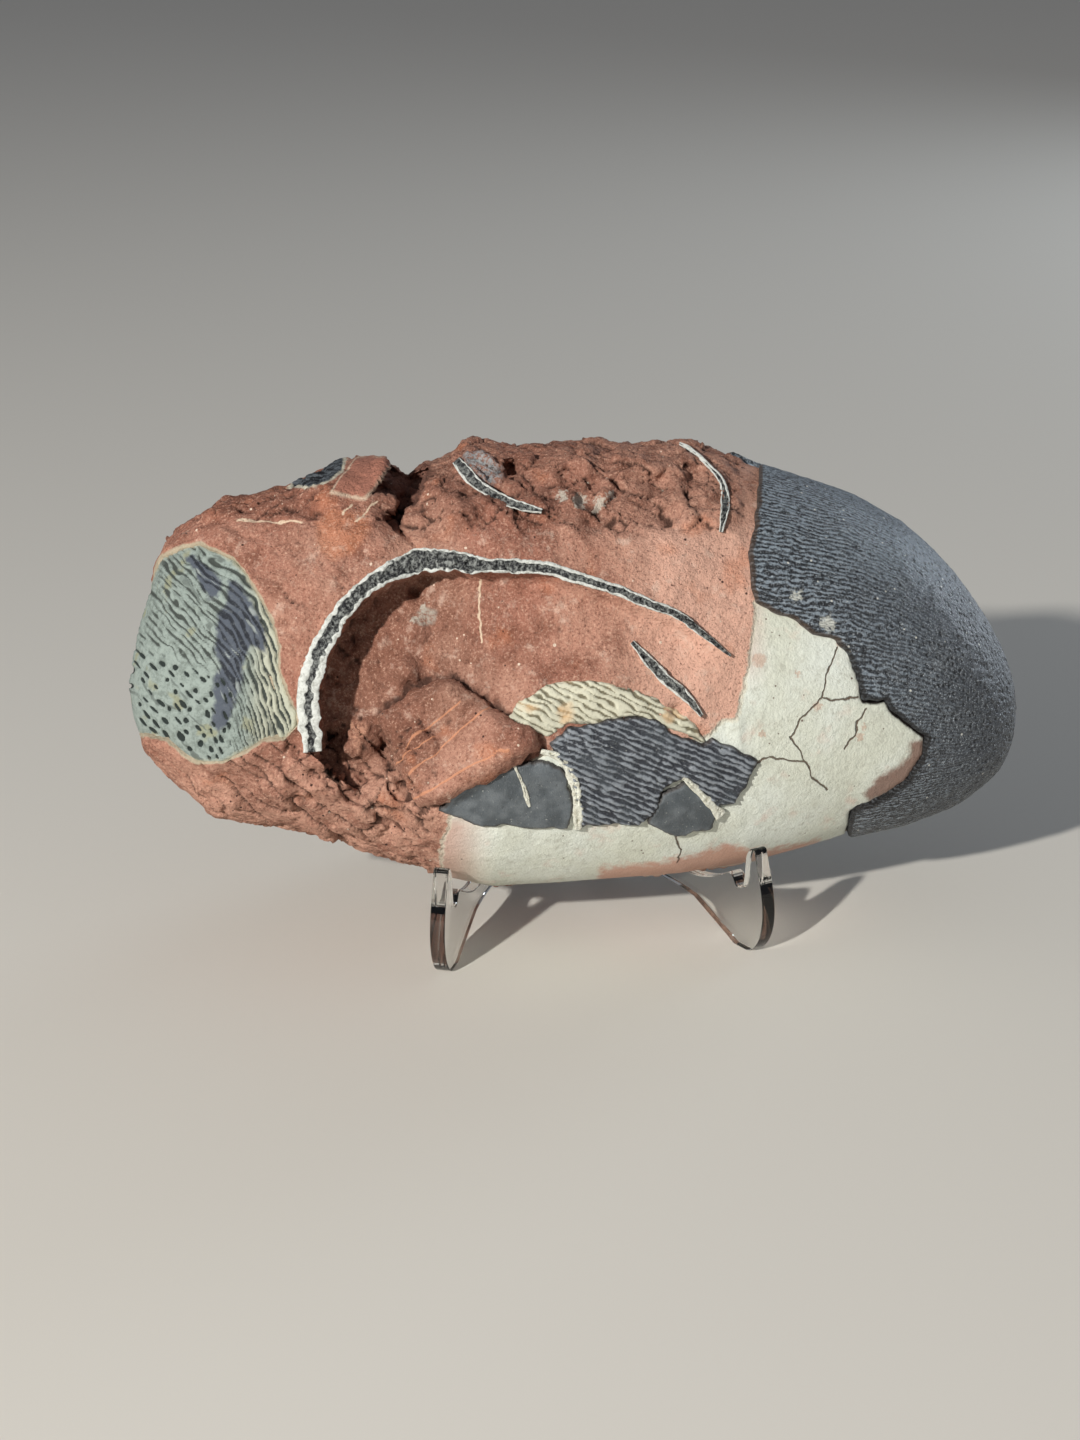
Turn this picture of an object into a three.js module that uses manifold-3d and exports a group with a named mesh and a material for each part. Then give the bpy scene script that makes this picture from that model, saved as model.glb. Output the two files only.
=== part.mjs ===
// A fossil dinosaur egg, broken open on one side, lying on a clear two-leaf stand.
// Millimetres, +Z up, long axis of the egg along X, broken face towards -Y.
import * as THREE from 'three';
import { mergeVertices } from 'three/addons/utils/BufferGeometryUtils.js';
import Module from 'manifold-3d';

// The broken face is described as it is seen along sight lines that meet at one eye point:
// u to the right, v up, both measured at the middle of the egg, and w the depth away from the eye.
const SIGHT_YAW = THREE.MathUtils.degToRad(10);
const SIGHT_PITCH = THREE.MathUtils.degToRad(17.5);
const EYE_DISTANCE = 600;

// Egg
const EGG_HALF_LENGTH = 88.6;
const EGG_MIDDLE_U = 0.4;
const EGG_DEPTH_FRONT = 33;
const EGG_DEPTH_BACK = 32;
const SECTION_POWER = 2.15;
const STATIONS = 78;
const FRONT_STEPS = 33;
const BACK_STEPS = 16;
const MIDDLE_HEIGHT = 53.5;      // height of the egg's middle over the table
const MIDDLE_X = -3;             // and its place over the middle of the ground it covers
const MIDDLE_Y = -12.6;

// Shell pieces
const SHELL_PROUD = 1.3;         // how far the shell stands over the stone round it
const EGG_END_SUNK = 1.3;        // how far the bare end of the egg lies below the stone round it
const ARC_PROUD = 1.5;           // how far the broken shell edges stand out of the stone
const ARC_ROOT = 4;              // how far they go down into it
const FINEST_DETAIL = 0.16;      // smaller steps in the stone are smoothed away

const NEAREST_W = -80;           // clear of the egg in front and behind
const FURTHEST_W = 90;

// Stand
const LEAF_THICKNESS = 3;
const LEAF_ANGLE = THREE.MathUtils.degToRad(24);   // each leaf to the middle plane of the stand
const LEAF_GAP = 0.3;
const FOOT_SPREAD = 66;          // between the middles of the leaves at their foremost points
const STAND_X = 1.7;             // middle plane of the stand, from the egg's middle
const STAND_FRONT_Y = -29.3;     // foremost point of the feet, from the egg's middle
const LIP_TOP = 21.6;
const GROOVE_BOTTOM = 12.5;
const ARM_TOP = 10.4;
const ARM_BOTTOM = 5.6;
const BACK_REST_FOOT = [57.8, 23];     // where the back rest starts: r, z
const BACK_REST_TIP = [71.5, 60];
const LEAF_LENGTH = 100;
const CROSSING = FOOT_SPREAD / 2 / Math.sin(LEAF_ANGLE);

// Outlines in u, v. The skyline runs over the top and the underline below, left to right.
const SKYLINE = [
  [-88, -3], [-87.4, 2], [-84.6, 13], [-82.4, 21], [-81, 25], [-76, 29], [-69, 33.6], [-56, 35.6],
  [-46, 41], [-37, 41.6], [-33, 37.5], [-28, 40.2], [-20, 45], [-13, 43.6], [-7, 44.4], [0, 45.4],
  [8, 43.8], [16, 44.8], [22, 45], [30, 42.4], [37, 39.4], [46, 37], [56, 33.6], [66, 28.2],
  [76, 19], [84, 8], [88, -2], [89, -8],
];
const UNDERLINE = [
  [-88, -5], [-87.4, -10], [-84, -18], [-76, -25.4], [-71, -30.2], [-54, -33], [-38, -38.2],
  [-27, -41.8], [-16, -44.2], [-2, -43.4], [22, -41.6], [37, -39], [46, -36.6], [56, -33.4],
  [66, -31.4], [78, -27], [86, -20.6], [88.4, -15], [89, -10],
];

// Shell of the egg that was cut through, seen edge on
const MAIN_ARC = [
  [-51.4, -17.4], [-52.4, -7], [-50.8, 1], [-47.6, 7.6], [-43.6, 13], [-39.2, 16.8], [-34.6, 19.2],
  [-30, 20.8], [-23.8, 21], [-18, 20], [-11, 19.8], [-5, 19.4], [1, 17.6], [9.4, 15], [15.4, 12.4],
  [21.6, 10], [27.6, 5.4], [32.2, 1.8],
];
const SMALL_ARC = [[12.4, 4.6], [18, -1.6], [23.4, -6.6], [26.4, -10.2]];
const TOP_ARC = [[-22.8, 41], [-19, 36.6], [-14.2, 33.4], [-9.8, 31.8], [-5.6, 30.8]];
const SLIVER = [[30.4, 38.6], [31.4, 35.6], [32, 31.8], [30.4, 26.6]];

const CAP_EDGE = [
  [38, 52], [38, 37], [37.2, 27.4], [36, 23], [36.8, 17.2], [37.6, 12.8], [40.8, 10.8], [45, 9.2],
  [48.8, 6.4], [53.6, 5], [56.8, 1], [58.4, -3.2], [59, -7], [61.6, -7.2], [63.2, -6.4],
  [64.8, -9.2], [68, -11.8], [71.6, -14.4], [71.2, -18.2], [67.6, -23.6], [63.8, -26.2],
  [59.4, -28.4], [56.8, -29.4], [55.8, -34], [55, -48], [100, -48], [100, 52],
];
const CAP_EDGE_BACK = [
  [38, 52], [30, 40], [22, 33], [12, 30], [2, 33], [-8, 26], [-14, 14], [-10, 4], [-18, -6],
  [-22, -18], [-12, -27], [4, -30], [20, -35], [40, -35], [56, -33], [55, -48], [100, -48], [100, 52],
];
const RIDGED_PLATE = [
  [-4, -16], [0.2, -12.4], [11.8, -10.6], [17.4, -11], [20.2, -13.4], [26.8, -16.2], [28.8, -14.8],
  [37.8, -19.2], [35.2, -24.2], [33.2, -27.8], [28.8, -28.4], [23.2, -22.8], [18.8, -24.8],
  [17.4, -29.2], [13.8, -32], [2.4, -32.4], [1, -27], [-0.4, -22], [-3.2, -17.8],
];
const SMOOTH_PLATE_LEFT = [
  [-26.6, -29.4], [-19.8, -24.2], [-11.2, -20.2], [-4, -19.4], [-0.8, -22], [0.4, -27.8],
  [-0.2, -33.2], [-7.6, -33], [-13.2, -32.4], [-18.2, -32.4],
];
const SMOOTH_PLATE_RIGHT = [
  [15.2, -32.2], [18.8, -26.2], [23.2, -23.8], [29.6, -28.6], [28.2, -33.4], [21, -34.4],
];
const LOBE = [
  [-38.2, -10.2], [-31.2, -5.2], [-23.8, -2.8], [-11.8, -10.8], [-7.2, -13.4], [-6.6, -16.6],
  [-11.6, -20], [-23.8, -27.4], [-30.2, -28.6], [-35.4, -19],
];
const NOTCH = [
  [-36.8, 46], [-38.6, 34.4], [-34.8, 33.2], [-36.2, 29.6], [-30.6, 24], [-33, 29.2],
  [-31.2, 31.4], [-29.6, 33.8], [-28.2, 37], [-27, 46],
];
const EGG_END = [
  [-81.8, 21.6], [-77.6, 23.6], [-74.4, 24.4], [-71.2, 23.2], [-67.4, 21.2], [-64.6, 18],
  [-61.8, 13.4], [-59.4, 8.6], [-58, 3.6], [-58.4, -0.4], [-57.2, -3.8], [-54.6, -9.8],
  [-54.8, -12.2], [-57.2, -14.8], [-61.4, -15.2], [-65.4, -17.6], [-69.6, -19.6], [-74.4, -19.6],
  [-76.8, -18.4], [-80.6, -15.2], [-86, -14], [-95, -12], [-95, 6], [-85, 14], [-83, 19.6],
];

// Pits and lumps: u, v, radius, depth (a lump has a negative depth)
const PITS = [
  [-11.6, 39.6, 3.4, 5.5], [0, 38, 3, 2.2], [5, 36.4, 2.6, 2.2], [9, 34.6, 2.2, 1.8], [3, 33.2, 2, 1.4],
  [25, 38.6, 2.6, 3], [18, 36, 3, 1.6], [20.5, 30, 3.2, 1.6], [-31, 14.6, 2, 3],
  [-33, -1, 3.6, -2.6], [-31, 7, 3.4, -1.8], [-50, 37, 6, -1.6], [8, 41, 8, -1.2],
  [-24, 31, 6, -2.2], [-14, 26, 7, -1.6], [-58, 31, 7, -1], [21.4, -9.2, 2.2, 1.4],
  [-42, -24, 4, 2.4], [-34, -34, 5, 1.6], [-78, -4, 6, 0.6],
];

// Random lumps of the rock, the same on every run
function cellValue(i, j, k) {
  const raw = Math.sin(i * 127.1 + j * 311.7 + k * 74.7) * 43758.5453;
  return raw - Math.floor(raw);
}

function valueNoise(x, y, z) {
  const cell = [Math.floor(x), Math.floor(y), Math.floor(z)];
  const part = [x - cell[0], y - cell[1], z - cell[2]].map((f) => f * f * (3 - 2 * f));
  let sum = 0;
  for (let corner = 0; corner < 8; corner += 1) {
    const step = [corner & 1, (corner >> 1) & 1, corner >> 2];
    const weight = step.reduce((w, s, axis) => w * (s ? part[axis] : 1 - part[axis]), 1);
    sum += weight * cellValue(cell[0] + step[0], cell[1] + step[1], cell[2] + step[2]);
  }
  return sum * 2 - 1;
}

const clamp01 = (t) => Math.min(1, Math.max(0, t));
const lerp = (a, b, t) => a + (b - a) * t;

function smooth(from, to, x) {
  const t = clamp01((x - from) / (to - from));
  return t * t * (3 - 2 * t);
}

// Distance of a point to a line of points, and to the edge of an outline (positive inside)
function distanceToLine(points, u, v, closed = false) {
  let best = Infinity;
  for (let i = 0; i < points.length - (closed ? 0 : 1); i += 1) {
    const [au, av] = points[i];
    const [bu, bv] = points[(i + 1) % points.length];
    const du = bu - au;
    const dv = bv - av;
    const t = clamp01(((u - au) * du + (v - av) * dv) / (du * du + dv * dv));
    best = Math.min(best, Math.hypot(u - au - t * du, v - av - t * dv));
  }
  return best;
}

function isInside(outline, u, v) {
  let inside = false;
  for (let i = 0, j = outline.length - 1; i < outline.length; j = i, i += 1) {
    const [au, av] = outline[i];
    const [bu, bv] = outline[j];
    if ((av > v) !== (bv > v) && u < ((bu - au) * (v - av)) / (bv - av) + au) inside = !inside;
  }
  return inside;
}

function depthInside(outline, u, v) {
  const distance = distanceToLine(outline, u, v, true);
  return isInside(outline, u, v) ? distance : -distance;
}

// The outlines are read against the angle along the egg, so that they stay round at its ends
const alongAngle = (u) => Math.acos(Math.min(1, Math.max(-1, (EGG_MIDDLE_U - u) / EGG_HALF_LENGTH)));

function readOutline(points, angle) {
  const angles = points.map(([u]) => alongAngle(u));
  if (angle <= angles[0]) return points[0][1];
  for (let i = 1; i < points.length; i += 1) {
    if (angle <= angles[i]) {
      const t = (angle - angles[i - 1]) / (angles[i] - angles[i - 1]);
      return lerp(points[i - 1][1], points[i][1], t);
    }
  }
  return points[points.length - 1][1];
}

// Relief of the broken face: how far its surface lies behind the egg's own round form
const HOLLOW = [...MAIN_ARC, [24, -8], [8, -4], [-6, -8], [-16, -20], [-30, -30], [-42, -26]];

function hollowDepth(u, v) {
  if (!isInside(HOLLOW, u, v)) return 0;
  const fromArc = distanceToLine(MAIN_ARC, u, v);
  const fromMouth = distanceToLine(HOLLOW.slice(MAIN_ARC.length - 1), u, v);
  const floor = lerp(10.5, 2.6, smooth(-50, 16, u));
  return floor * smooth(0.4, 3.4, fromArc) * smooth(-2, 11, fromMouth);
}

function brokenRock(u, v) {
  const upperLeft = smooth(-44, -52, u) * smooth(27, 31, v);
  const lowerLeft = smooth(-8, -14, v) * smooth(-24, -32, u) * smooth(2, -3, depthInside(EGG_END, u, v));
  const top = smooth(24, 30, v) * smooth(-42, -36, u) * smooth(37, 33, u);
  const groove = smooth(-36, -42, u) * smooth(-16, -8, v) * smooth(1, -2, depthInside(EGG_END, u, v));
  return Math.max(upperLeft, lowerLeft, top * 0.8, 0.25 * groove, 0.12);
}

function faceRelief(u, v) {
  let depth = hollowDepth(u, v);
  depth -= 4.2 * smooth(-1.2, 2.6, depthInside(LOBE, u, v));
  depth += 11 * smooth(-0.6, 2.4, depthInside(NOTCH, u, v));
  depth += EGG_END_SUNK * smooth(-0.4, 0.9, depthInside(EGG_END, u, v));
  for (const [pu, pv, radius, deep] of PITS) {
    depth += deep * (1 - smooth(0.25, 1.15, Math.hypot(u - pu, v - pv) / radius));
  }
  const rough = brokenRock(u, v) * smooth(35.5, 33.5, u);
  depth += rough * (2.8 * valueNoise(u / 7, v / 5.2, 3) + 1.7 * valueNoise(u / 3.4, v / 2.8, 9));
  return depth;
}

function backRelief(u, v) {
  const rock = smooth(1, -2, depthInside(CAP_EDGE_BACK, u, v));
  return rock * (1.2 + 1.8 * valueNoise(u / 9, v / 7, 21) + 0.9 * valueNoise(u / 3.6, v / 3.1, 33));
}

const signedPower = (x, power) => Math.sign(x) * Math.abs(x) ** power;

// A point of the egg's surface: along 0..PI from its left end, round 0 at the front and PI / 2 on top
function surfacePoint(along, round, proud) {
  const u = EGG_MIDDLE_U - EGG_HALF_LENGTH * Math.cos(along);
  const top = readOutline(SKYLINE, along) + proud * Math.sin(along);
  const bottom = readOutline(UNDERLINE, along) - proud * Math.sin(along);
  const facing = signedPower(Math.cos(round), 2 / SECTION_POWER);
  const rise = signedPower(Math.sin(round), 2 / SECTION_POWER);
  const v = (top + bottom) / 2 + ((top - bottom) / 2) * rise;
  const girth = Math.sin(along) ** 0.86;
  const middle = u * Math.tan(SIGHT_YAW);
  const reach = facing > 0 ? EGG_DEPTH_FRONT * girth : EGG_DEPTH_BACK * girth;
  const relief = facing > 0 ? faceRelief(u, v) : backRelief(u, v);
  const depth = Math.sign(facing) * relief * smooth(0, 0.34, Math.abs(facing));
  return [u, v, middle - facing * (reach + proud) + depth];
}

// From u, v, w to the egg's own axes
function place([u, v, w]) {
  const right = new THREE.Vector3(Math.cos(SIGHT_YAW), -Math.sin(SIGHT_YAW), 0);
  const away = new THREE.Vector3(
    Math.sin(SIGHT_YAW) * Math.cos(SIGHT_PITCH),
    Math.cos(SIGHT_YAW) * Math.cos(SIGHT_PITCH),
    -Math.sin(SIGHT_PITCH),
  );
  const up = new THREE.Vector3().crossVectors(right, away);
  const spread = (EYE_DISTANCE + w) / EYE_DISTANCE;
  return new THREE.Vector3()
    .addScaledVector(right, u * spread)
    .addScaledVector(up, v * spread)
    .addScaledVector(away, w);
}

// Closed solids from rows of points
function closedGeometry(positions, faces) {
  const geometry = new THREE.BufferGeometry();
  geometry.setAttribute('position', new THREE.Float32BufferAttribute(positions, 3));
  geometry.setIndex(faces);
  return geometry;
}

function eggGeometry(proud) {
  const rounds = [];
  for (let i = 0; i < FRONT_STEPS; i += 1) rounds.push(-Math.PI / 2 + (Math.PI * i) / FRONT_STEPS);
  for (let i = 0; i < BACK_STEPS; i += 1) rounds.push(Math.PI / 2 + (Math.PI * i) / BACK_STEPS);
  const positions = [];
  const add = (point) => positions.push(...place(point).toArray());
  const stationAt = (i) => Math.PI * (i / STATIONS - 0.03 * Math.sin((2 * Math.PI * i) / STATIONS));
  for (let i = 1; i < STATIONS; i += 1) {
    for (const round of rounds) add(surfacePoint(stationAt(i), round, proud));
  }
  const ring = rounds.length;
  const leftEnd = (STATIONS - 1) * ring;
  add([EGG_MIDDLE_U - EGG_HALF_LENGTH - proud / 2, -4, -EGG_HALF_LENGTH * Math.tan(SIGHT_YAW)]);
  add([EGG_MIDDLE_U + EGG_HALF_LENGTH + proud / 2, -9, EGG_HALF_LENGTH * Math.tan(SIGHT_YAW)]);
  const faces = [];
  for (let j = 0; j < ring; j += 1) {
    const next = (j + 1) % ring;
    faces.push(leftEnd, j, next);
    for (let i = 0; i < STATIONS - 2; i += 1) {
      const a = i * ring + j;
      const b = i * ring + next;
      faces.push(a, b + ring, b, a, a + ring, b + ring);
    }
    const last = (STATIONS - 2) * ring;
    faces.push(leftEnd + 1, last + next, last + j);
  }
  return closedGeometry(positions, faces);
}

// A prism round an outline of u, v, along the sight lines, between two depths
function prismGeometry(outline, near, far) {
  const turned = THREE.ShapeUtils.area(outline.map(([u, v]) => new THREE.Vector2(u, v))) < 0;
  const points = turned ? [...outline].reverse() : outline;
  const flat = THREE.ShapeUtils.triangulateShape(points.map(([u, v]) => new THREE.Vector2(u, v)), []);
  const count = points.length;
  const positions = [near, far].flatMap((w) => points.flatMap(([u, v]) => place([u, v, w]).toArray()));
  const faces = [];
  for (const [a, b, c] of flat) faces.push(a, b, c, c + count, b + count, a + count);
  for (let i = 0; i < count; i += 1) {
    const next = (i + 1) % count;
    faces.push(i, i + count, next + count, i, next + count, next);
  }
  return closedGeometry(positions, faces);
}

// A broken shell edge: a strip that follows its line on the stone, thinning out at its ends
function stripGeometry(line, width, steps, stoneAt) {
  const curve = new THREE.CatmullRomCurve3(line.map(([u, v]) => new THREE.Vector3(u, v, 0)));
  const positions = [];
  const faces = [];
  for (let i = 0; i <= steps; i += 1) {
    const t = i / steps;
    const point = curve.getPointAt(t);
    const tangent = curve.getTangentAt(t);
    const half = (width / 2) * Math.min(1, 0.35 + 6 * Math.min(t, 1 - t));
    const w = stoneAt(point.x, point.y);
    for (const [side, depth] of [[1, -ARC_PROUD], [-1, -ARC_PROUD], [-1, ARC_ROOT], [1, ARC_ROOT]]) {
      const u = point.x - side * half * tangent.y;
      const v = point.y + side * half * tangent.x;
      positions.push(...place([u, v, w + depth]).toArray());
    }
    if (i === steps) break;
    for (let j = 0; j < 4; j += 1) {
      const a = i * 4 + j;
      const b = i * 4 + ((j + 1) % 4);
      faces.push(a, b, b + 4, a, b + 4, a + 4);
    }
  }
  const last = steps * 4;
  faces.push(0, 2, 1, 0, 3, 2, last, last + 1, last + 2, last, last + 2, last + 3);
  return closedGeometry(positions, faces);
}

// Depth of the egg's round front at a point of the face, by its own section
function roundFront(u, v) {
  const along = alongAngle(u);
  const top = readOutline(SKYLINE, along);
  const bottom = readOutline(UNDERLINE, along);
  const rise = Math.min(0.999, Math.abs((2 * v - top - bottom) / (top - bottom)));
  const facing = (1 - rise ** SECTION_POWER) ** (1 / SECTION_POWER);
  return u * Math.tan(SIGHT_YAW) - facing * EGG_DEPTH_FRONT * Math.sin(along) ** 0.86;
}

// Boolean work
const wasm = await Module();
wasm.setup();

function toSolid(geometry) {
  const plain = geometry.clone();
  plain.deleteAttribute('normal');
  plain.deleteAttribute('uv');
  const merged = mergeVertices(plain, 1e-4);
  const mesh = new wasm.Mesh({
    numProp: 3,
    vertProperties: new Float32Array(merged.attributes.position.array),
    triVerts: new Uint32Array(merged.index.array),
  });
  return new wasm.Manifold(mesh);
}

function toGeometry(solid) {
  const mesh = solid.getMesh();
  return closedGeometry(Array.from(mesh.vertProperties), Array.from(mesh.triVerts));
}

function fossilEgg() {
  const stone = toSolid(eggGeometry(0));
  const raised = toSolid(eggGeometry(SHELL_PROUD));
  const shellOver = (outline, near, far) => raised.intersect(toSolid(prismGeometry(outline, near, far)));
  let egg = stone;
  for (const plate of [RIDGED_PLATE, SMOOTH_PLATE_LEFT, SMOOTH_PLATE_RIGHT]) {
    egg = egg.add(shellOver(plate, NEAREST_W, 0));
  }
  egg = egg.add(shellOver(CAP_EDGE, NEAREST_W, 12)).add(shellOver(CAP_EDGE_BACK, 6, FURTHEST_W));
  const strips = [
    [MAIN_ARC, 3.4, 26, (u, v) => roundFront(u, v)],
    [SMALL_ARC, 2, 6, (u, v) => roundFront(u, v) + faceRelief(u, v)],
    [TOP_ARC, 2, 7, (u, v) => roundFront(u, v) + 0.5],
    [SLIVER, 2.2, 5, (u, v) => roundFront(u, v)],
  ];
  for (const [line, width, steps, stoneAt] of strips) {
    egg = egg.add(toSolid(stripGeometry(line, width, steps, stoneAt)));
  }
  return egg.simplify(FINEST_DETAIL);
}

// Stand leaf in its own plane: r from the front foot to the back, z up
function leafShape() {
  const shape = new THREE.Shape();
  const [restR, restZ] = BACK_REST_FOOT;
  const [tipR, tipZ] = BACK_REST_TIP;
  shape.moveTo(5.4, 0);
  shape.bezierCurveTo(2.2, 0.6, 0, 4.4, 0, 9);
  shape.bezierCurveTo(0, 13, 1.6, 17, 3, LIP_TOP);
  shape.bezierCurveTo(3.8, LIP_TOP + 1, 5.6, LIP_TOP, 6, LIP_TOP - 2.4);
  shape.bezierCurveTo(6.4, 14, 6.6, GROOVE_BOTTOM, 8.2, GROOVE_BOTTOM);
  shape.bezierCurveTo(9.4, GROOVE_BOTTOM, 9.4, 14.8, 11.4, 14.8);
  shape.bezierCurveTo(15, 13, 19, ARM_TOP, 26, ARM_TOP);
  shape.lineTo(35, ARM_TOP);
  shape.bezierCurveTo(46, ARM_TOP + 1, 54, 15, restR, restZ);
  shape.bezierCurveTo(restR + 6, restZ + 10, tipR - 1.7, tipZ - 14, tipR, tipZ);
  shape.bezierCurveTo(tipR + 0.4, tipZ + 2.4, tipR + 15, tipZ + 3, tipR + 16, tipZ - 3);
  shape.lineTo(LEAF_LENGTH, 4);
  shape.bezierCurveTo(LEAF_LENGTH + 0.4, 1.4, LEAF_LENGTH - 1, 0, LEAF_LENGTH - 3, 0);
  shape.lineTo(LEAF_LENGTH - 12, 0);
  shape.bezierCurveTo(81, 0.6, 62, 4, 46, ARM_BOTTOM);
  shape.bezierCurveTo(36, ARM_BOTTOM + 1, 29, ARM_BOTTOM + 1, 23, ARM_BOTTOM);
  shape.lineTo(11.4, 0.9);
  shape.bezierCurveTo(10.6, 0.4, 9.8, 0, 9, 0);
  shape.closePath();
  return shape;
}

function leafGeometry() {
  const geometry = new THREE.ExtrudeGeometry(leafShape(), {
    depth: LEAF_THICKNESS, bevelEnabled: false, curveSegments: 7,
  });
  geometry.translate(0, 0, -LEAF_THICKNESS / 2);
  geometry.rotateX(Math.PI / 2);
  return geometry;
}

// Where the two leaves cross, one is slotted from above and the other from below
function slottedLeaf(fromAbove) {
  const crossingAngle = 2 * LEAF_ANGLE;
  const width = (LEAF_THICKNESS * (1 + Math.cos(crossingAngle)) + 2 * LEAF_GAP) / Math.sin(crossingAngle);
  const slot = new THREE.BoxGeometry(width, LEAF_THICKNESS * 2, BACK_REST_TIP[1] + 4);
  const half = (BACK_REST_TIP[1] + 4) / 2;
  const middle = fromAbove ? half - LEAF_GAP / 2 : half + LEAF_GAP / 2;
  slot.translate(CROSSING, 0, fromAbove ? middle + half : middle - half);
  return toGeometry(toSolid(leafGeometry()).subtract(toSolid(slot)));
}

// Materials
const stoneMaterial = new THREE.MeshStandardMaterial({ color: 0xa86a55, roughness: 0.85, metalness: 0 });
const clearMaterial = new THREE.MeshStandardMaterial({
  color: 0xe4ecea, roughness: 0.08, metalness: 0, transparent: true, opacity: 0.35,
});

function namedMesh(name, geometry, material) {
  geometry.computeVertexNormals();
  const mesh = new THREE.Mesh(geometry, material);
  mesh.name = name;
  return mesh;
}

function standLeaf(name, side) {
  const leaf = namedMesh(name, slottedLeaf(side < 0), clearMaterial);
  leaf.position.set(STAND_X + (side * FOOT_SPREAD) / 2, STAND_FRONT_Y, 0);
  leaf.rotation.z = Math.PI / 2 + side * LEAF_ANGLE;
  return leaf;
}

const model = new THREE.Group();
const egg = namedMesh('fossil_egg', toGeometry(fossilEgg()), stoneMaterial);
egg.position.z = MIDDLE_HEIGHT;
model.add(egg, standLeaf('stand_leaf_left', -1), standLeaf('stand_leaf_right', 1));
model.position.set(MIDDLE_X, MIDDLE_Y, 0);

export default model;
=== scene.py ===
"""Looks of a fossil dinosaur egg on its clear stand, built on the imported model."""
import math

import bmesh
import bpy
import numpy as np
from mathutils import Matrix, Vector


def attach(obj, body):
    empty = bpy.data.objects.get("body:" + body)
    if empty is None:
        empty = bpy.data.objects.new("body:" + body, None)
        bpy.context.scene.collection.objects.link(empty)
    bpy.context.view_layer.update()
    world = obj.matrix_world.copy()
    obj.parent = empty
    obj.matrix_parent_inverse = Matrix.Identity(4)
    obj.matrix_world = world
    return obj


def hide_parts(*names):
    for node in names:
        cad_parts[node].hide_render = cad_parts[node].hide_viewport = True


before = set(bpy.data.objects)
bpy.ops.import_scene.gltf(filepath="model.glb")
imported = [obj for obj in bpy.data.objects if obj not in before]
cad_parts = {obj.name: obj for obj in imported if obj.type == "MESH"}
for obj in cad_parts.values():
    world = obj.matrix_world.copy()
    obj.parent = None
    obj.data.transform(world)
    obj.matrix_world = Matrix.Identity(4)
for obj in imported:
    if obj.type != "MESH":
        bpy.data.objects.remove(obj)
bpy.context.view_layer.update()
MM = 0.001
BODY = "root"

# The broken face is described as it is seen along sight lines that meet at one eye point:
# u to the right, v up, both measured at the middle of the egg, and w the depth away from the eye.
# Millimetres, as in the construction.
SIGHT_YAW = math.radians(10)
SIGHT_PITCH = math.radians(17.5)
EYE_DISTANCE = 600
EGG_HALF_LENGTH = 88.6
EGG_MIDDLE_U = 0.4
EGG_DEPTH_FRONT = 33
EGG_DEPTH_BACK = 32
EGG_HALF_HEIGHT = 42
EGG_RADIUS = 36
SECTION_POWER = 2.15
GIRTH_POWER = 0.86
EGG_MIDDLE = np.array([-3.0, -12.6, 53.5])
SHELL_PROUD = 1.3
EGG_END_SUNK = 1.3
ARC_PROUD = 1.5
ARC_ROOT = 4

# Stand
LEAF_THICKNESS = 3
LEAF_ANGLE = math.radians(24)
LEAF_GAP = 0.3
LEAF_BEVEL = 0.22
FOOT_SPREAD = 66
STAND_X = EGG_MIDDLE[0] + 1.7
STAND_FRONT_Y = EGG_MIDDLE[1] - 29.3
LIP_TOP = 21.6
GROOVE_BOTTOM = 12.5
ARM_TOP = 10.4
ARM_BOTTOM = 5.6
BACK_REST_FOOT = (57.8, 23)
BACK_REST_TIP = (71.5, 60)
LEAF_LENGTH = 100
CROSSING = FOOT_SPREAD / 2 / math.sin(LEAF_ANGLE)

# Photograph: 1080 x 1440, with the egg's middle at this pixel and this size of a pixel there
PHOTO_WIDTH = 1080
PHOTO_HEIGHT = 1440
EGG_PIXEL = (570, 665)
PIXEL_SIZE = 0.2

# Room, in metres: each light's place, size, power and colour
LIGHTS = {
    "sun": ((-0.97, -1.2, 0.74), 0.06, 34, (1, 0.97, 0.92)),
    "sky": ((1.05, 0.75, 0.26), 0.4, 5, (0.8, 0.9, 1)),
}
FLOOR_REACH = 3.0
FLOOR_COLOR = (0.7, 0.67, 0.61)
WORLD_COLOR = (0.85, 0.9, 1, 1)
WORLD_POWER = 0.2

# Outlines in u, v
SKYLINE = [
    (-88, -3), (-87.4, 2), (-84.6, 13), (-82.4, 21), (-81, 25), (-76, 29), (-69, 33.6), (-56, 35.6),
    (-46, 41), (-37, 41.6), (-33, 37.5), (-28, 40.2), (-20, 45), (-13, 43.6), (-7, 44.4), (0, 45.4),
    (8, 43.8), (16, 44.8), (22, 45), (30, 42.4), (37, 39.4), (46, 37), (56, 33.6), (66, 28.2),
    (76, 19), (84, 8), (88, -2), (89, -8),
]
UNDERLINE = [
    (-88, -5), (-87.4, -10), (-84, -18), (-76, -25.4), (-71, -30.2), (-54, -33), (-38, -38.2),
    (-27, -41.8), (-16, -44.2), (-2, -43.4), (22, -41.6), (37, -39), (46, -36.6), (56, -33.4),
    (66, -31.4), (78, -27), (86, -20.6), (88.4, -15), (89, -10),
]
MAIN_ARC = [
    (-51.4, -17.4), (-52.4, -7), (-50.8, 1), (-47.6, 7.6), (-43.6, 13), (-39.2, 16.8), (-34.6, 19.2),
    (-30, 20.8), (-23.8, 21), (-18, 20), (-11, 19.8), (-5, 19.4), (1, 17.6), (9.4, 15), (15.4, 12.4),
    (21.6, 10), (27.6, 5.4), (32.2, 1.8),
]
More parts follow.
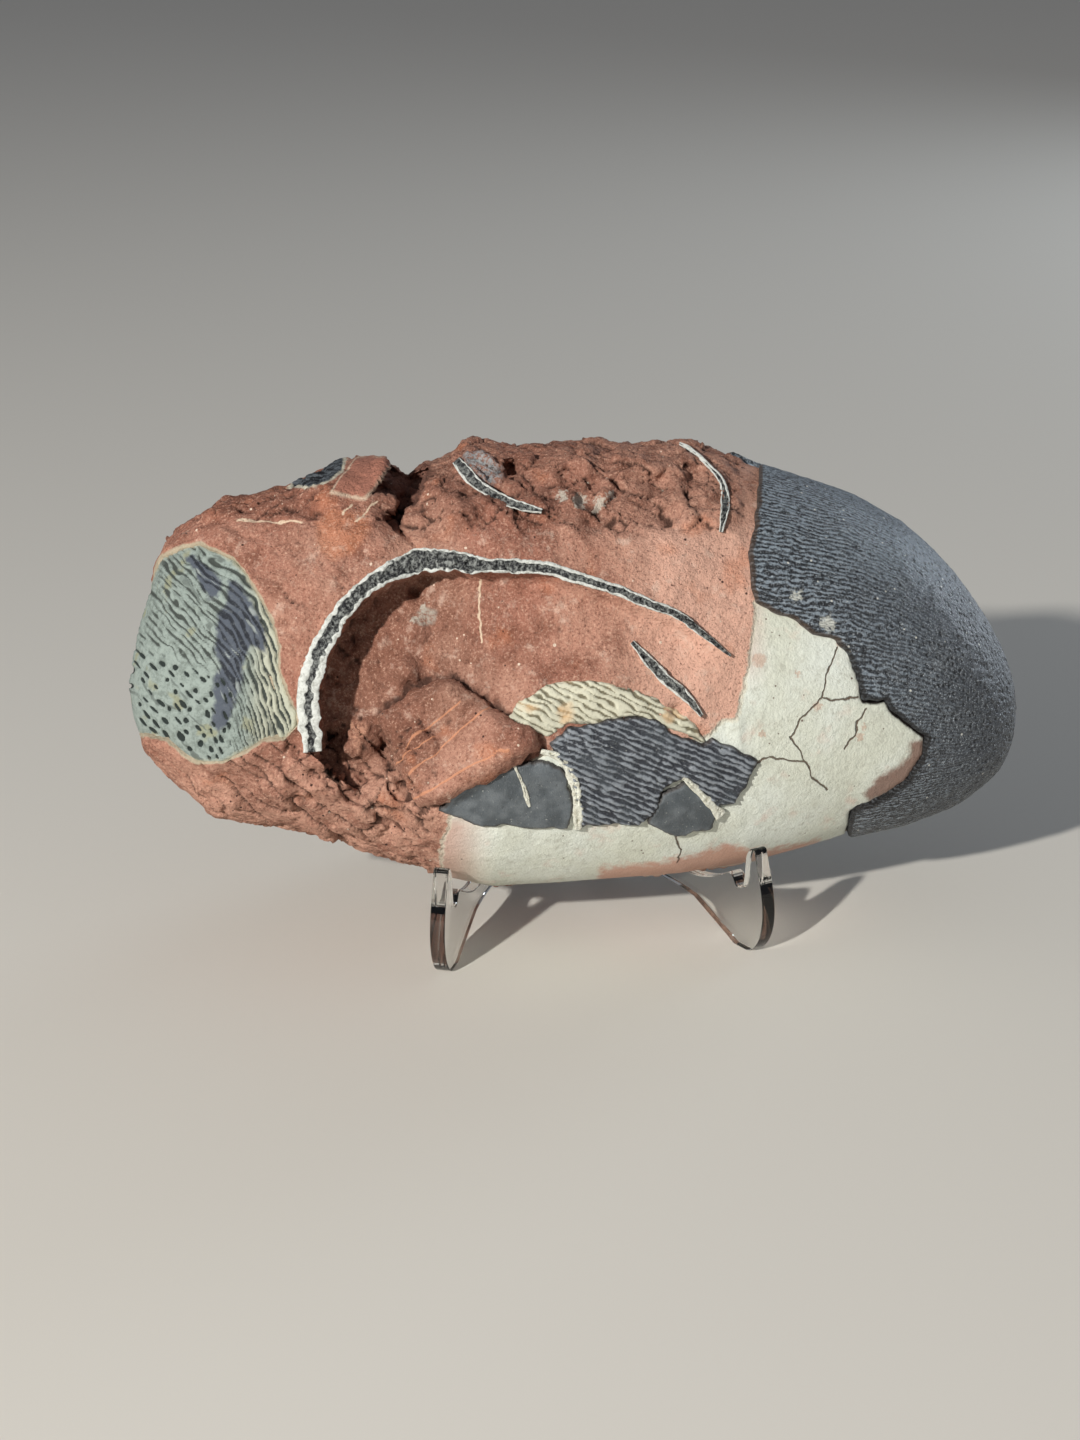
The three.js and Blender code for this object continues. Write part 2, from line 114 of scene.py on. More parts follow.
MAIN_ARC_WIDTHS = [
    3.6, 4.7, 4.5, 4.1, 3.8, 3.5, 3.5, 4.9, 4.4, 3.0, 2.8, 2.6, 2.4, 2.2, 2.1, 1.8, 1.3, 0.5,
]
MAIN_ARC_CORES = [
    0.36, 0.3, 0.32, 0.42, 0.54, 0.58, 0.62, 0.78, 0.8, 0.74, 0.6, 0.52, 0.5, 0.55, 0.6, 0.7, 0.8, 0.9,
]
SMALL_ARC = [(12.4, 4.6), (18, -1.6), (23.4, -6.6), (26.4, -10.2)]
TOP_ARC = [(-22.8, 41), (-19, 36.6), (-14.2, 33.4), (-9.8, 31.8), (-5.6, 30.8)]
SLIVER = [(20.4, 45), (24, 43.2), (27.6, 40), (30.4, 36.6), (31, 32), (30.2, 26.6)]
CAP_EDGE = [
    (38, 52), (38, 37), (37.2, 27.4), (36, 23), (36.8, 17.2), (37.6, 12.8), (40.8, 10.8), (45, 9.2),
    (48.8, 6.4), (53.6, 5), (56.8, 1), (58.4, -3.2), (59, -7), (61.6, -7.2), (63.2, -6.4),
    (64.8, -9.2), (68, -11.8), (71.6, -14.4), (71.2, -18.2), (67.6, -23.6), (63.8, -26.2),
    (59.4, -28.4), (56.8, -29.4), (55.8, -34), (55, -48), (100, -48), (100, 52),
]
CAP_EDGE_BACK = [
    (38, 52), (30, 40), (22, 33), (12, 30), (2, 33), (-8, 26), (-14, 14), (-10, 4), (-18, -6),
    (-22, -18), (-12, -27), (4, -30), (20, -35), (40, -35), (56, -33), (55, -48), (100, -48), (100, 52),
]
RIDGED_PLATE = [
    (-4, -16), (0.2, -12.4), (11.8, -10.6), (17.4, -11), (20.2, -13.4), (26.8, -16.2), (28.8, -14.8),
    (37.8, -19.2), (35.2, -24.2), (33.2, -27.8), (28.8, -28.4), (23.2, -22.8), (18.8, -24.8),
    (17.4, -29.2), (13.8, -32), (2.4, -32.4), (1, -27), (-0.4, -22), (-3.2, -17.8),
]
SMOOTH_PLATE_LEFT = [
    (-26.6, -29.4), (-19.8, -24.2), (-11.2, -20.2), (-4, -19.4), (-0.8, -22), (0.4, -27.8),
    (-0.2, -33.2), (-7.6, -33), (-13.2, -32.4), (-18.2, -32.4),
]
SMOOTH_PLATE_RIGHT = [
    (15.2, -32.2), (18.8, -26.2), (23.2, -23.8), (29.6, -28.6), (28.2, -33.4), (21, -34.4),
]
LOBE = [
    (-38.2, -10.2), (-31.2, -5.2), (-23.8, -2.8), (-11.8, -10.8), (-7.2, -13.4), (-6.6, -16.6),
    (-11.6, -20), (-23.8, -27.4), (-30.2, -28.6), (-35.4, -19),
]
NOTCH = [
    (-36.8, 46), (-36.4, 40), (-37.6, 37.4), (-39.6, 34.4), (-34.8, 33.4), (-34.8, 31.6), (-36.6, 29.6),
    (-35.2, 27.4), (-31.8, 24.2), (-29.8, 22.2), (-33.2, 26.6), (-32.4, 31), (-30.2, 31.8), (-28.8, 35),
    (-28, 37.4), (-27.4, 39.6), (-28, 41.4), (-27, 46),
]
EGG_END = [
    (-81.8, 21.6), (-77.6, 23.6), (-74.4, 24.4), (-71.2, 23.2), (-67.4, 21.2), (-64.6, 18),
    (-61.8, 13.4), (-59.4, 8.6), (-58, 3.6), (-58.4, -0.4), (-57.2, -3.8), (-54.6, -9.8),
    (-54.8, -12.2), (-57.2, -14.8), (-61.4, -15.2), (-65.4, -17.6), (-69.6, -19.6), (-74.4, -19.6),
    (-76.8, -18.4), (-80.6, -15.2), (-86, -14), (-95, -12), (-95, 6), (-85, 14), (-83, 19.6),
]
IMPRINT = [
    (-13, -10.8), (-10.4, -7), (-4.6, -4), (1.2, -2.8), (8.8, -4), (16.4, -6.2), (20.2, -8.2),
    (25.2, -11.6), (27, -15.4), (20.2, -13.4), (14.6, -10.6), (10.6, -10.6), (5, -12), (0, -12),
    (-4.6, -14.8), (-7.2, -13.2),
]
BARE_STONE = [
    (37, 12.4), (36.4, 4.8), (35.2, -2.2), (33.4, -10.6), (30, -11.4), (28, -14), (26, -15), (-3, -17),
    (-7.4, -19), (-10, -24), (-24, -30.4), (-24.6, -33), (-25.8, -36), (-25.4, -48), (10, -48),
    (40, -48), (60, -40), (66, -32), (70, -20), (76, -12), (66, 6), (46, 16),
]
PATCHES = {
    "stain": [
        (68, -15.4), (70.8, -14.6), (71.2, -18.6), (68.8, -22.6), (64, -25.8), (59.6, -27.4),
        (58.8, -25.8), (61.6, -22.2), (65.6, -20.2), (68, -17.8),
    ],
    "ridged_scrap": [
        (-57.7, 36.3), (-53.7, 39), (-49.7, 40.7), (-45, 41.7), (-45.7, 39.3), (-47.7, 37.3),
        (-51, 35.3), (-53, 35.3),
    ],
    "red_slab": [
        (-48, 34.3), (-45.7, 37.7), (-42.7, 41.3), (-40.3, 41.8), (-36.7, 41.7), (-36.3, 40),
        (-37.7, 37.3), (-39.3, 35), (-41, 33),
    ],
    "orange_stain": [
        (-51, 29), (-47, 31.4), (-40.8, 30.6), (-39.6, 27), (-43, 22.4), (-47.6, 20.4), (-50.6, 23),
    ],
    "blue_slab": [(-21.6, 42), (-17.6, 43), (-13, 37.6), (-14, 35.6), (-18, 36.4), (-20.6, 38.6)],
    "pale_smear": [(-31.6, 9.4), (-29.6, 11.8), (-26.2, 11), (-27, 8.2), (-30, 7.4)],
    "pale_block": [(-46, -10.4), (-40, -11.6), (-42.2, -17.6)],
    "foot_stain": [
        (6, -40.4), (18, -39.4), (26, -37.4), (31, -35.8), (37.8, -37), (50, -35), (50, -40), (4, -48),
    ],
}
END_DARK = [
    [
        (-77.3, 21.3), (-75.7, 22.3), (-71.3, 19), (-69.3, 16.3), (-70.3, 13.3), (-72, 13), (-74, 15.7),
        (-75.3, 19),
    ],
    [
        (-68.7, 17), (-66.7, 17.3), (-64.7, 14.7), (-62, 10.3), (-60.7, 5.7), (-60.7, 2.3), (-63.7, 3.7),
        (-65.3, 0.7), (-65.3, -3), (-66.7, -7), (-68.3, -11.7), (-70.3, -13.7), (-72, -12), (-71.3, -7.3),
        (-71.7, -3), (-70, -0.3), (-71.3, 3), (-70.7, 10.3), (-68.7, 13),
    ],
]

# Lines in u, v
CREVICE_LINE = CAP_EDGE[10:24]
CRACKS = [
    [
        (53.6, 3.4), (51.4, -1.6), (50.4, -6.6), (46.6, -10.4), (44, -14.6), (46.4, -18),
        (48.6, -22.4), (51.4, -25),
    ],
    [(37.2, -19.6), (40, -18.4), (44.4, -19.4), (46.8, -19.2)],
    [(50.4, -6.6), (53.6, -7), (57.6, -6.4)],
    [(59.4, -9), (57.6, -11.2), (57, -14.2), (55, -16.6)],
    [(20.6, -33.4), (22.2, -37), (21.4, -39.4)],
]
TOOL_MARKS = [
    [(-31.4, -21.6), (-16.2, -9)], [(-30.8, -26.8), (-12.4, -16.6)], [(-33.6, -16.6), (-22, -7.4)],
    [(-26, -28.2), (-12, -20.4)], [(-34.6, -20), (-27, -14.6)],
]
PALE_STROKES = [
    [(-17.9, 17.4), (-18.2, 11), (-17.7, 4.6)],
    [(-45.6, 30.4), (-43.6, 32.4)], [(-42.6, 28.6), (-39, 32.6)], [(-66.6, 28.6), (-53.6, 28.8)],
]

# Calcite veins: line and widths along it
VEINS = [
    (
        [(-5.8, -17.2), (-2.8, -18.2), (-0.4, -20.6), (1, -24.2), (1.5, -28), (1.6, -33)],
        [1.0, 1.5, 2.0, 2.0, 1.7],
    ),
    ([(-11.2, -20), (-9.4, -24), (-8, -28.4)], [0.5, 0.9, 0.7, 1.0, 0.5]),
    ([(22.6, -22.6), (25, -24.6), (27.2, -26.8), (30.4, -30.2)], [0.9, 1.2, 1.5, 1.9, 2.2]),
]

# Spots: u, v and radius
RUST_SPOTS = [
    (49.6, -8.2, 1.1), (58.8, -12.4, 0.8), (58, -14.4, 1.0), (45.6, -1.8, 0.9), (54, 4.2, 0.8),
    (37.8, 1, 1.8), (38.4, -13.8, 0.9),
]
CRYSTALS = [
    (-1.6, 34.4, 1.3), (2, 33.2, 1.7), (6, 32.4, 1.5), (8, 34, 1.1), (-29.2, 11.4, 1.0), (-31, 9, 0.9),
]
CAP_SPOTS = [(45.4, 13.8, 1.3), (51.4, 8.4, 1.9)]
ARC_HOLE = (-32, 14.6)

# Pits of the face: u, v, radius and depth, where less than 0 is a bump
PITS = [
    (-11.8, 39, 2.3, 6.5), (0, 38, 3, 2.2), (5, 36.4, 2.6, 2.2), (9, 34.6, 2.2, 1.8), (3, 33.2, 2, 1.4),
    (25, 38.6, 2.6, 3), (18, 36, 3, 1.6), (20.5, 30, 3.2, 1.6), (-31, 14.6, 2, 3),
    (-33, -1, 3.6, -2.6), (-31, 7, 3.4, -1.8), (-50, 37, 6, -1.6), (8, 41, 8, -1.2),
    (-24, 31, 6, -2.2), (-14, 26, 7, -1.6), (-58, 31, 7, -1), (21.4, -9.2, 2.2, 1.4),
    (-42, -24, 4, 2.4), (-34, -34, 5, 1.6), (-78, -4, 6, 0.6),
]

# Colours as they are seen, 0 to 255
RED_STONE = (168, 116, 98)
RED_PALE = (188, 142, 122)
RED_DARK = (122, 76, 60)
# Painted shade for the stone's crevices
CREVICE_SHADE = (56, 36, 30)
BARE_PALE = (222, 227, 218)
CALCITE = (216, 212, 192)
SLATE = (96, 104, 113)
SLATE_LIGHT = (150, 163, 174)
SLATE_DARK = (26, 28, 33)
END_PALE = (152, 164, 158)

# Broken stone of the lower left, the upper left and elsewhere: angle of the beds, how drawn out they
# are, seed, depth of their splits, height of the large chips and of the small ones
BEDS = [(42, 7.0, 3, 1.2, 1.0, 0.4), (-7, 6.0, 31, 1.0, 1.2, 0.5), (42, 2.2, 17, 0.55, 1.3, 0.5)]
CHIP_SIZES = (5.0, 1.5)

# Shell pieces
SHELL_THICKNESS = 1.5
CAP_THICKNESS = 2.2
IMPRINT_PROUD = 0.35
TOP_ARC_LIFT = 0.6
UNDER_CAP = 1.4
UNDER_END = 1.6
END_REACH = math.radians(105)
END_EDGE_BACK = -84.5

# Distance between ridges and dashes
CAP_THREADS = 1.15
PLATE_RIDGES = 1.1
IMPRINT_RIDGES = 1.3
END_RIDGES = 1.2
DASH_GRID = (2.9, 1.8)

# Meshes: rows as from u, to u and spacing, and steps round the egg
TIP_ANGLE = 0.004
STONE_ROWS = [(-88.3, 36, 0.45), (36, 74, 0.8), (74, 89, 1.8)]
CAP_ROWS = [(-24, 34.5, 0.9), (34.5, 88.6, 0.45)]
END_ROWS = (-88.1, -53.5, 0.24)
STONE_STEPS = (205, 60)
CAP_STEPS = (230, 110)
END_STEPS = 380
PATCH_REACH = math.pi / 2 - 0.02
PATCH_MARGIN = 0.25
PLATE_SPACING = 0.22
STRIP_SPACING = 0.2


# Noise
def cell_value(i, j, k):
    raw = np.sin(i * 127.1 + j * 311.7 + k * 74.7) * 43758.5453
    return raw - np.floor(raw)


def value_noise(x, y, z):
    cells = [np.floor(a) for a in (x, y, z)]
    parts = [a - c for a, c in zip((x, y, z), cells)]
    parts = [f * f * (3 - 2 * f) for f in parts]
    total = 0.0
    for corner in range(8):
        steps = (corner & 1, (corner >> 1) & 1, corner >> 2)
        weight = 1.0
        for step, part in zip(steps, parts):
            weight = weight * (part if step else 1 - part)
        total = total + weight * cell_value(*(c + s for c, s in zip(cells, steps)))
    return total * 2 - 1


def layered_noise(points, size, seed, octaves=3):
    """Noise of several sizes at points in millimetres; the last axis of points is x, y, z."""
    total, strength, scale = 0.0, 1.0, 1.0 / size
    for octave in range(octaves):
        shift = seed * 17.3 + octave * 5.7
        x, y, z = (points[..., axis] * scale + shift for axis in range(3))
        total = total + strength * value_noise(x, y, z)
        strength *= 0.5
        scale *= 2.03
    return total


def drawn_out_noise(length, across, stretch, size, seed, octaves):
    """Noise in the face's plane, stretched along one direction."""
    return layered_noise(np.stack([length / stretch, across, 0 * across], -1), size, seed, octaves)


def slanted(u, v, angle):
    """Coordinates along and across a direction, in degrees below the horizontal to the right."""
    turn = np.radians(angle)
    return u * np.cos(turn) - v * np.sin(turn), u * np.sin(turn) + v * np.cos(turn)


def turned(points, degrees, stretch):
    """Points turned in the face's plane and squeezed along the new first axis."""
    x, z = slanted(points[..., 0], points[..., 2], degrees)
    return np.stack([x / stretch, points[..., 1], z], -1)


def chips(points, size, seed):
    """Broken facets: each random cell of the rock is a tilted plane. Gives height and edge distance."""
    x, y, z = (points[..., axis] / size for axis in range(3))
    cells = [np.floor(a) for a in (x, y, z)]
    nearest = np.full(x.shape, 9.0)
    second = np.full(x.shape, 9.0)
    height = np.zeros(x.shape)
    for step in range(27):
        i, j, k = (c + s - 1 for c, s in zip(cells, (step % 3, step // 3 % 3, step // 9)))
        dx = x - i - cell_value(i + seed, j, k)
        dy = y - j - cell_value(i, j + seed + 11, k)
        dz = z - k - cell_value(i, j, k + seed + 23)
        distance = np.sqrt(dx * dx + dy * dy + dz * dz)
        level = cell_value(i + 5, j + seed, k + 3) * 2 - 1
        slope_x = cell_value(i + 7, j, k + seed) * 2 - 1
        slope_z = cell_value(i, j + 9, k + seed) * 2 - 1
        closer = distance < nearest
        second = np.where(closer, nearest, np.minimum(second, distance))
        height = np.where(closer, 0.6 * level + 0.8 * (slope_x * dx + slope_z * dz), height)
        nearest = np.minimum(nearest, distance)
    return height, second - nearest


def smooth(low, high, x):
    t = np.clip((x - low) / (high - low), 0, 1)
    return t * t * (3 - 2 * t)


# Distances in the face's own plane
def distance_to_line(points, u, v, closed=False):
    best = np.full(np.shape(u), 1e9)
    ends = points[1:] + points[:1] if closed else points[1:]
    for (au, av), (bu, bv) in zip(points, ends):
        du, dv = bu - au, bv - av
        t = np.clip(((u - au) * du + (v - av) * dv) / (du * du + dv * dv), 0, 1)
        best = np.minimum(best, np.hypot(u - au - t * du, v - av - t * dv))
    return best


def is_inside(outline, u, v):
    inside = np.zeros(np.shape(u), bool)
    for (au, av), (bu, bv) in zip(outline, outline[-1:] + outline[:-1]):
        if av == bv:
            continue
        crosses = ((av > v) != (bv > v)) & (u < (bu - au) * (v - av) / (bv - av) + au)
        inside ^= crosses
    return inside


def depth_inside(outline, u, v):
    distance = distance_to_line(outline, u, v, closed=True)
    return np.where(is_inside(outline, u, v), distance, -distance)


# Form of the egg
def along_angle(u):
    return np.arccos(np.clip((EGG_MIDDLE_U - np.asarray(u, float)) / EGG_HALF_LENGTH, -1, 1))


def eased_outline(points):
    """Height of an outline against the angle along the egg, with its corners rounded."""
    angles = np.linspace(0, math.pi, 1601)
    heights = np.interp(angles, along_angle([p[0] for p in points]), [p[1] for p in points])
    window = np.hanning(27)
    padded = np.pad(heights, 13, mode="edge")
    return angles, np.convolve(padded, window / window.sum(), mode="valid")


SKYLINE_CURVE = eased_outline(SKYLINE)
UNDERLINE_CURVE = eased_outline(UNDERLINE)
HOLLOW = MAIN_ARC + [(24, -8), (8, -4), (-6, -8), (-16, -20), (-30, -30), (-42, -26)]


def hollow_depth(u, v):
    from_arc = distance_to_line(MAIN_ARC, u, v)
    from_mouth = distance_to_line(HOLLOW[len(MAIN_ARC) - 1:], u, v)
    floor = 10.5 - 7.9 * smooth(-50, 16, u)
    depth = floor * smooth(0.4, 3.4, from_arc) * smooth(-2, 11, from_mouth)
    return np.where(is_inside(HOLLOW, u, v), depth, 0)


def upper_left(u, v):
    """1 in the broken corner above the egg's end."""
    return smooth(-44, -52, u) * smooth(27, 31, v)


def broken_rock(u, v):
    """How rough the broken stone of the face is, 0 to 1."""
    end = depth_inside(EGG_END, u, v)
    lower_left = smooth(-8, -14, v) * smooth(-24, -32, u) * smooth(2, -3, end)
    top = smooth(24, 30, v) * smooth(-42, -36, u) * smooth(37, 33, u)
    groove = smooth(-36, -42, u) * smooth(-16, -8, v) * smooth(1, -2, end)
    least = np.full(np.shape(u), 0.12)
    rough = np.maximum.reduce([upper_left(u, v), lower_left, 0.8 * top, 0.25 * groove, least])
    return rough * smooth(35.5, 33.5, u)


def face_relief(u, v):
    depth = hollow_depth(u, v)
    depth = depth - 4.2 * smooth(-1.2, 2.6, depth_inside(LOBE, u, v))
    depth = depth + 11 * smooth(-0.3, 1.2, depth_inside(NOTCH, u, v))
    depth = depth + EGG_END_SUNK * smooth(-0.4, 0.9, depth_inside(EGG_END, u, v))
    for pit_u, pit_v, radius, deep in PITS:
        depth = depth + deep * (1 - smooth(0.25, 1.15, np.hypot(u - pit_u, v - pit_v) / radius))
    lumps = 2.8 * value_noise(u / 7, v / 5.2, 3.0) + 1.7 * value_noise(u / 3.4, v / 2.8, 9.0)
    return depth + broken_rock(u, v) * lumps


def back_relief(u, v):
    rock = smooth(1, -2, depth_inside(CAP_EDGE_BACK, u, v))
    lumps = 1.8 * value_noise(u / 9, v / 7, 21.0) + 0.9 * value_noise(u / 3.6, v / 3.1, 33.0)
    return rock * (1.2 + lumps)


def surface(along, round_angle, proud=0.0, relief=True):
    """u, v, w of the egg's surface. round_angle is 0 at the front and 90 degrees on top."""
    along, round_angle = np.broadcast_arrays(along, round_angle)
    u = EGG_MIDDLE_U - EGG_HALF_LENGTH * np.cos(along)
    top = np.interp(along, *SKYLINE_CURVE) + proud * np.sin(along)
    bottom = np.interp(along, *UNDERLINE_CURVE) - proud * np.sin(along)
    cosine, sine = np.cos(round_angle), np.sin(round_angle)
    facing = np.sign(cosine) * np.abs(cosine) ** (2 / SECTION_POWER)
    rise = np.sign(sine) * np.abs(sine) ** (2 / SECTION_POWER)
    v = (top + bottom) / 2 + (top - bottom) / 2 * rise
    girth = np.sin(along) ** GIRTH_POWER
    reach = np.where(facing > 0, EGG_DEPTH_FRONT, EGG_DEPTH_BACK) * girth
    w = u * math.tan(SIGHT_YAW) - facing * (reach + proud)
    if relief:
        depth = np.where(facing > 0, face_relief(u, v), back_relief(u, v))
        w = w + np.sign(facing) * depth * smooth(0, 0.34, np.abs(facing))
    return u, v, w, facing


def round_front(u, v):
    """w of the egg's front before anything broke out of it."""
    along = along_angle(u)
    top = np.interp(along, *SKYLINE_CURVE)
    bottom = np.interp(along, *UNDERLINE_CURVE)
    rise = np.minimum(0.999, np.abs((2 * v - top - bottom) / (top - bottom)))
    facing = (1 - rise ** SECTION_POWER) ** (1 / SECTION_POWER)
    return u * math.tan(SIGHT_YAW) - facing * EGG_DEPTH_FRONT * np.sin(along) ** GIRTH_POWER


def broken_front(u, v):
    """w of the broken face."""
    return round_front(u, v) + face_relief(u, v)


RIGHT = np.array([math.cos(SIGHT_YAW), -math.sin(SIGHT_YAW), 0])
AWAY = np.array([
    math.sin(SIGHT_YAW) * math.cos(SIGHT_PITCH),
    math.cos(SIGHT_YAW) * math.cos(SIGHT_PITCH),
    -math.sin(SIGHT_PITCH),
])
UP = np.cross(RIGHT, AWAY)


def place(u, v, w):
    """From u, v, w to the object's own axes, in millimetres."""
    spread = (EYE_DISTANCE + w) / EYE_DISTANCE
    u, v, w = np.broadcast_arrays(u * spread, v * spread, w)
    return EGG_MIDDLE + u[..., None] * RIGHT + v[..., None] * UP + w[..., None] * AWAY


# Meshes
def new_piece(name, points, faces, material, values=None):
    mesh = bpy.data.meshes.new(name)
    mesh.from_pydata((np.asarray(points) * MM).tolist(), [], [list(map(int, f)) for f in faces])
    for key, data in (values or {}).items():
        data = np.asarray(data, np.float32)
        kind = "FLOAT_VECTOR" if data.ndim == 2 else "FLOAT"
        layer = mesh.attributes.new(key, kind, "POINT")
        layer.data.foreach_set("vector" if data.ndim == 2 else "value", data.ravel())
    mesh.validate()
    mesh.shade_smooth()
    piece = bpy.data.objects.new(name, mesh)
    bpy.context.scene.collection.objects.link(piece)
    mesh.materials.append(material)
    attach(piece, BODY)
    return piece


def grid_normals(points, wrap):
    if wrap:
        around = np.roll(points, -1, axis=1) - np.roll(points, 1, axis=1)
    else:
        around = np.gradient(points, axis=1)
    normals = np.cross(np.gradient(points, axis=0), around)
    length = np.linalg.norm(normals, axis=-1, keepdims=True)
    return normals / np.maximum(length, 1e-9)


def blurred(field, reach):
    total = field.copy()
    for shift in range(1, reach + 1):
        for axis in (0, 1):
            total += np.roll(field, shift, axis) + np.roll(field, -shift, axis)
    return total / (1 + 4 * reach)


def broken_beds(points, u, v):
    """Chips of the broken stone, which lie in slanting beds at the left."""
    lower_left = smooth(-26, -40, u) * smooth(-6, -14, v)
    corner = upper_left(u, v)
    elsewhere = 1 - np.maximum(lower_left, corner)
    total = 0.0
    for mask, bed in zip((lower_left, corner, elsewhere), BEDS):
        degrees, stretch, seed, split, coarse, fine = bed
        bedded = turned(points, degrees, stretch)
        big, big_edge = chips(bedded, CHIP_SIZES[0], seed)
        small, small_edge = chips(bedded, CHIP_SIZES[1], seed + 5)
        splits = split * smooth(0.12, 0, big_edge) + 0.6 * fine * smooth(0.12, 0, small_edge)
        total = total + mask * (coarse * big + fine * small - splits)
    return total


def face_detail(points, u, v):
    """Slabs, the crevice along the cap and the ragged steps of the lobe."""
    detail = -0.8 * smooth(0.75, 0.3, distance_to_line(CREVICE_LINE, u, v))
    for name, height in (("red_slab", 0.55), ("pale_block", 0.5), ("blue_slab", 0.8)):
        detail = detail + height * smooth(-0.2, 0.3, depth_inside(PATCHES[name], u, v))
    lobe = depth_inside(LOBE, u, v) + 0.5 * value_noise(u / 2.1, v / 2.1, 6.0)
    detail = detail + 0.8 * smooth(-0.7, 0.4, lobe) + 0.5 * smooth(1.7, 2.6, lobe)
    detail = detail - 0.5 * smooth(-2.6, -1.0, lobe) * smooth(0.6, -0.4, lobe)
    marks = layered_noise(turned(points, -38, 7), 1.1, 51, 2)
    return detail + 0.2 * marks * smooth(0, 1, lobe)


def stone_detail(points, u, v, facing):
    """Fine relief of the stone, outwards, in millimetres."""
    front = facing > 0
    rough = np.where(front, broken_rock(u, v), 0.55 * smooth(1, -2, depth_inside(CAP_EDGE_BACK, u, v)))
    calm = np.where(front, depth_inside(BARE_STONE, u, v), -9)
    rough = rough * smooth(0.6, -0.6, calm) * (1 - 0.35 * smooth(-50, -62, u) * smooth(0, -12, v)) + 0.02
    hollow = np.where(front, smooth(2, 5, hollow_depth(u, v)), 0)
    streaks = layered_noise(turned(points, 64, 5), 1.5, 41, 2) * smooth(-30, -44, u)
    grain = (0.11 + 0.12 * hollow + 0.16 * rough) * layered_noise(points, 1.1, 5, 2)
    swell = 0.35 * layered_noise(points, 7, 2, 2)
    detail = rough * broken_beds(points, u, v) + 0.5 * hollow * streaks
    detail = detail + (grain + swell) * smooth(1.0, -1.0, calm)
    return detail + np.where(front, face_detail(points, u, v), 0)


def stone_values(u, v, facing, detail):
    """What the stone's shader reads at each point: distances inside outlines, depths, roughness."""
    fields = {
        "end_edge": (-depth_inside(EGG_END, u, v), 30),
        "crevice": (distance_to_line(CREVICE_LINE, u, v), 9),
        "hollow": (hollow_depth(u, v), 0),
        "rough": (broken_rock(u, v), 0.5),
    }
    for name, outline in {**PATCHES, "bare": BARE_STONE, "notch": NOTCH}.items():
        fields[name] = (depth_inside(outline, u, v), -9)
    values = {name: np.where(facing > 0, on_front, behind) for name, (on_front, behind) in fields.items()}
    values["face_place"] = np.stack([u, v, facing], -1)
    # cavity: how far a point lies below its surroundings, which the shader darkens as painted shade
    values["cavity"] = np.clip((blurred(detail, 4) - detail) / 0.5, 0, 1)
    return values


def surface_length(samples):
    """u of stations along the egg, and the length of its surface up to each."""
    u, _, w, _ = surface(samples, 0.0, relief=False)
    return u, np.concatenate([[0], np.cumsum(np.hypot(np.diff(u), np.diff(w)))])


def stone_stations():
    samples = np.linspace(TIP_ANGLE, math.pi - TIP_ANGLE, 6000)
    u, length = surface_length(samples)
    density = np.ones_like(u)
    for low, high, step in STONE_ROWS:
        density[(u >= low) & (u < high)] = 1 / step
    count = np.concatenate([[0], np.cumsum(np.diff(length) * density[1:])])
    return np.interp(np.arange(0, count[-1], 1.0), count, samples)


def all_round(front_steps, back_steps, closed):
    """Angles round the egg, which are closer together on its front."""
    front = np.linspace(-math.pi / 2, math.pi / 2, front_steps, endpoint=False)
    return np.concatenate([front, np.linspace(math.pi / 2, 1.5 * math.pi, back_steps, endpoint=closed)])


def stone_body(material):
    u, v, w, facing = surface(stone_stations()[:, None], all_round(*STONE_STEPS, closed=False)[None, :])
    points = place(u, v, w)
    detail = stone_detail(points, u, v, facing)
    points = points + grid_normals(points, wrap=True) * detail[..., None]
    inwards = EGG_MIDDLE - points
    inwards = inwards / np.linalg.norm(inwards, axis=-1, keepdims=True)
    sunk = UNDER_END * smooth(0.2, 1.0, end_edge(u, v, facing))
    sunk = sunk + UNDER_CAP * smooth(0.3, 1.8, cap_edge(u, v, facing))
    points = points + inwards * sunk[..., None]
    rows, ring = u.shape
    left_tip, right_tip, last_row = rows * ring, rows * ring + 1, (rows - 1) * ring
    faces = quad_faces(rows, ring, wrap=True)
    faces += [(left_tip, j, (j + 1) % ring) for j in range(ring)]
    faces += [(right_tip, last_row + (j + 1) % ring, last_row + j) for j in range(ring)]

    def with_tips(field):
        flat = field.reshape(rows * ring, *field.shape[2:])
        return np.concatenate([flat, [field[0].mean(axis=0)], [field[-1].mean(axis=0)]])

    values = {name: with_tips(field) for name, field in stone_values(u, v, facing, detail).items()}
    return new_piece("fossil_stone", with_tips(points), faces, material, values)


def quad_faces(rows, ring, wrap):
    i = np.arange(rows - 1)[:, None]
    j = np.arange(ring if wrap else ring - 1)[None, :]
    a = i * ring + j
    b = i * ring + (j + 1) % ring
    return np.stack([a, a + ring, b + ring, b], -1).reshape(-1, 4).tolist()


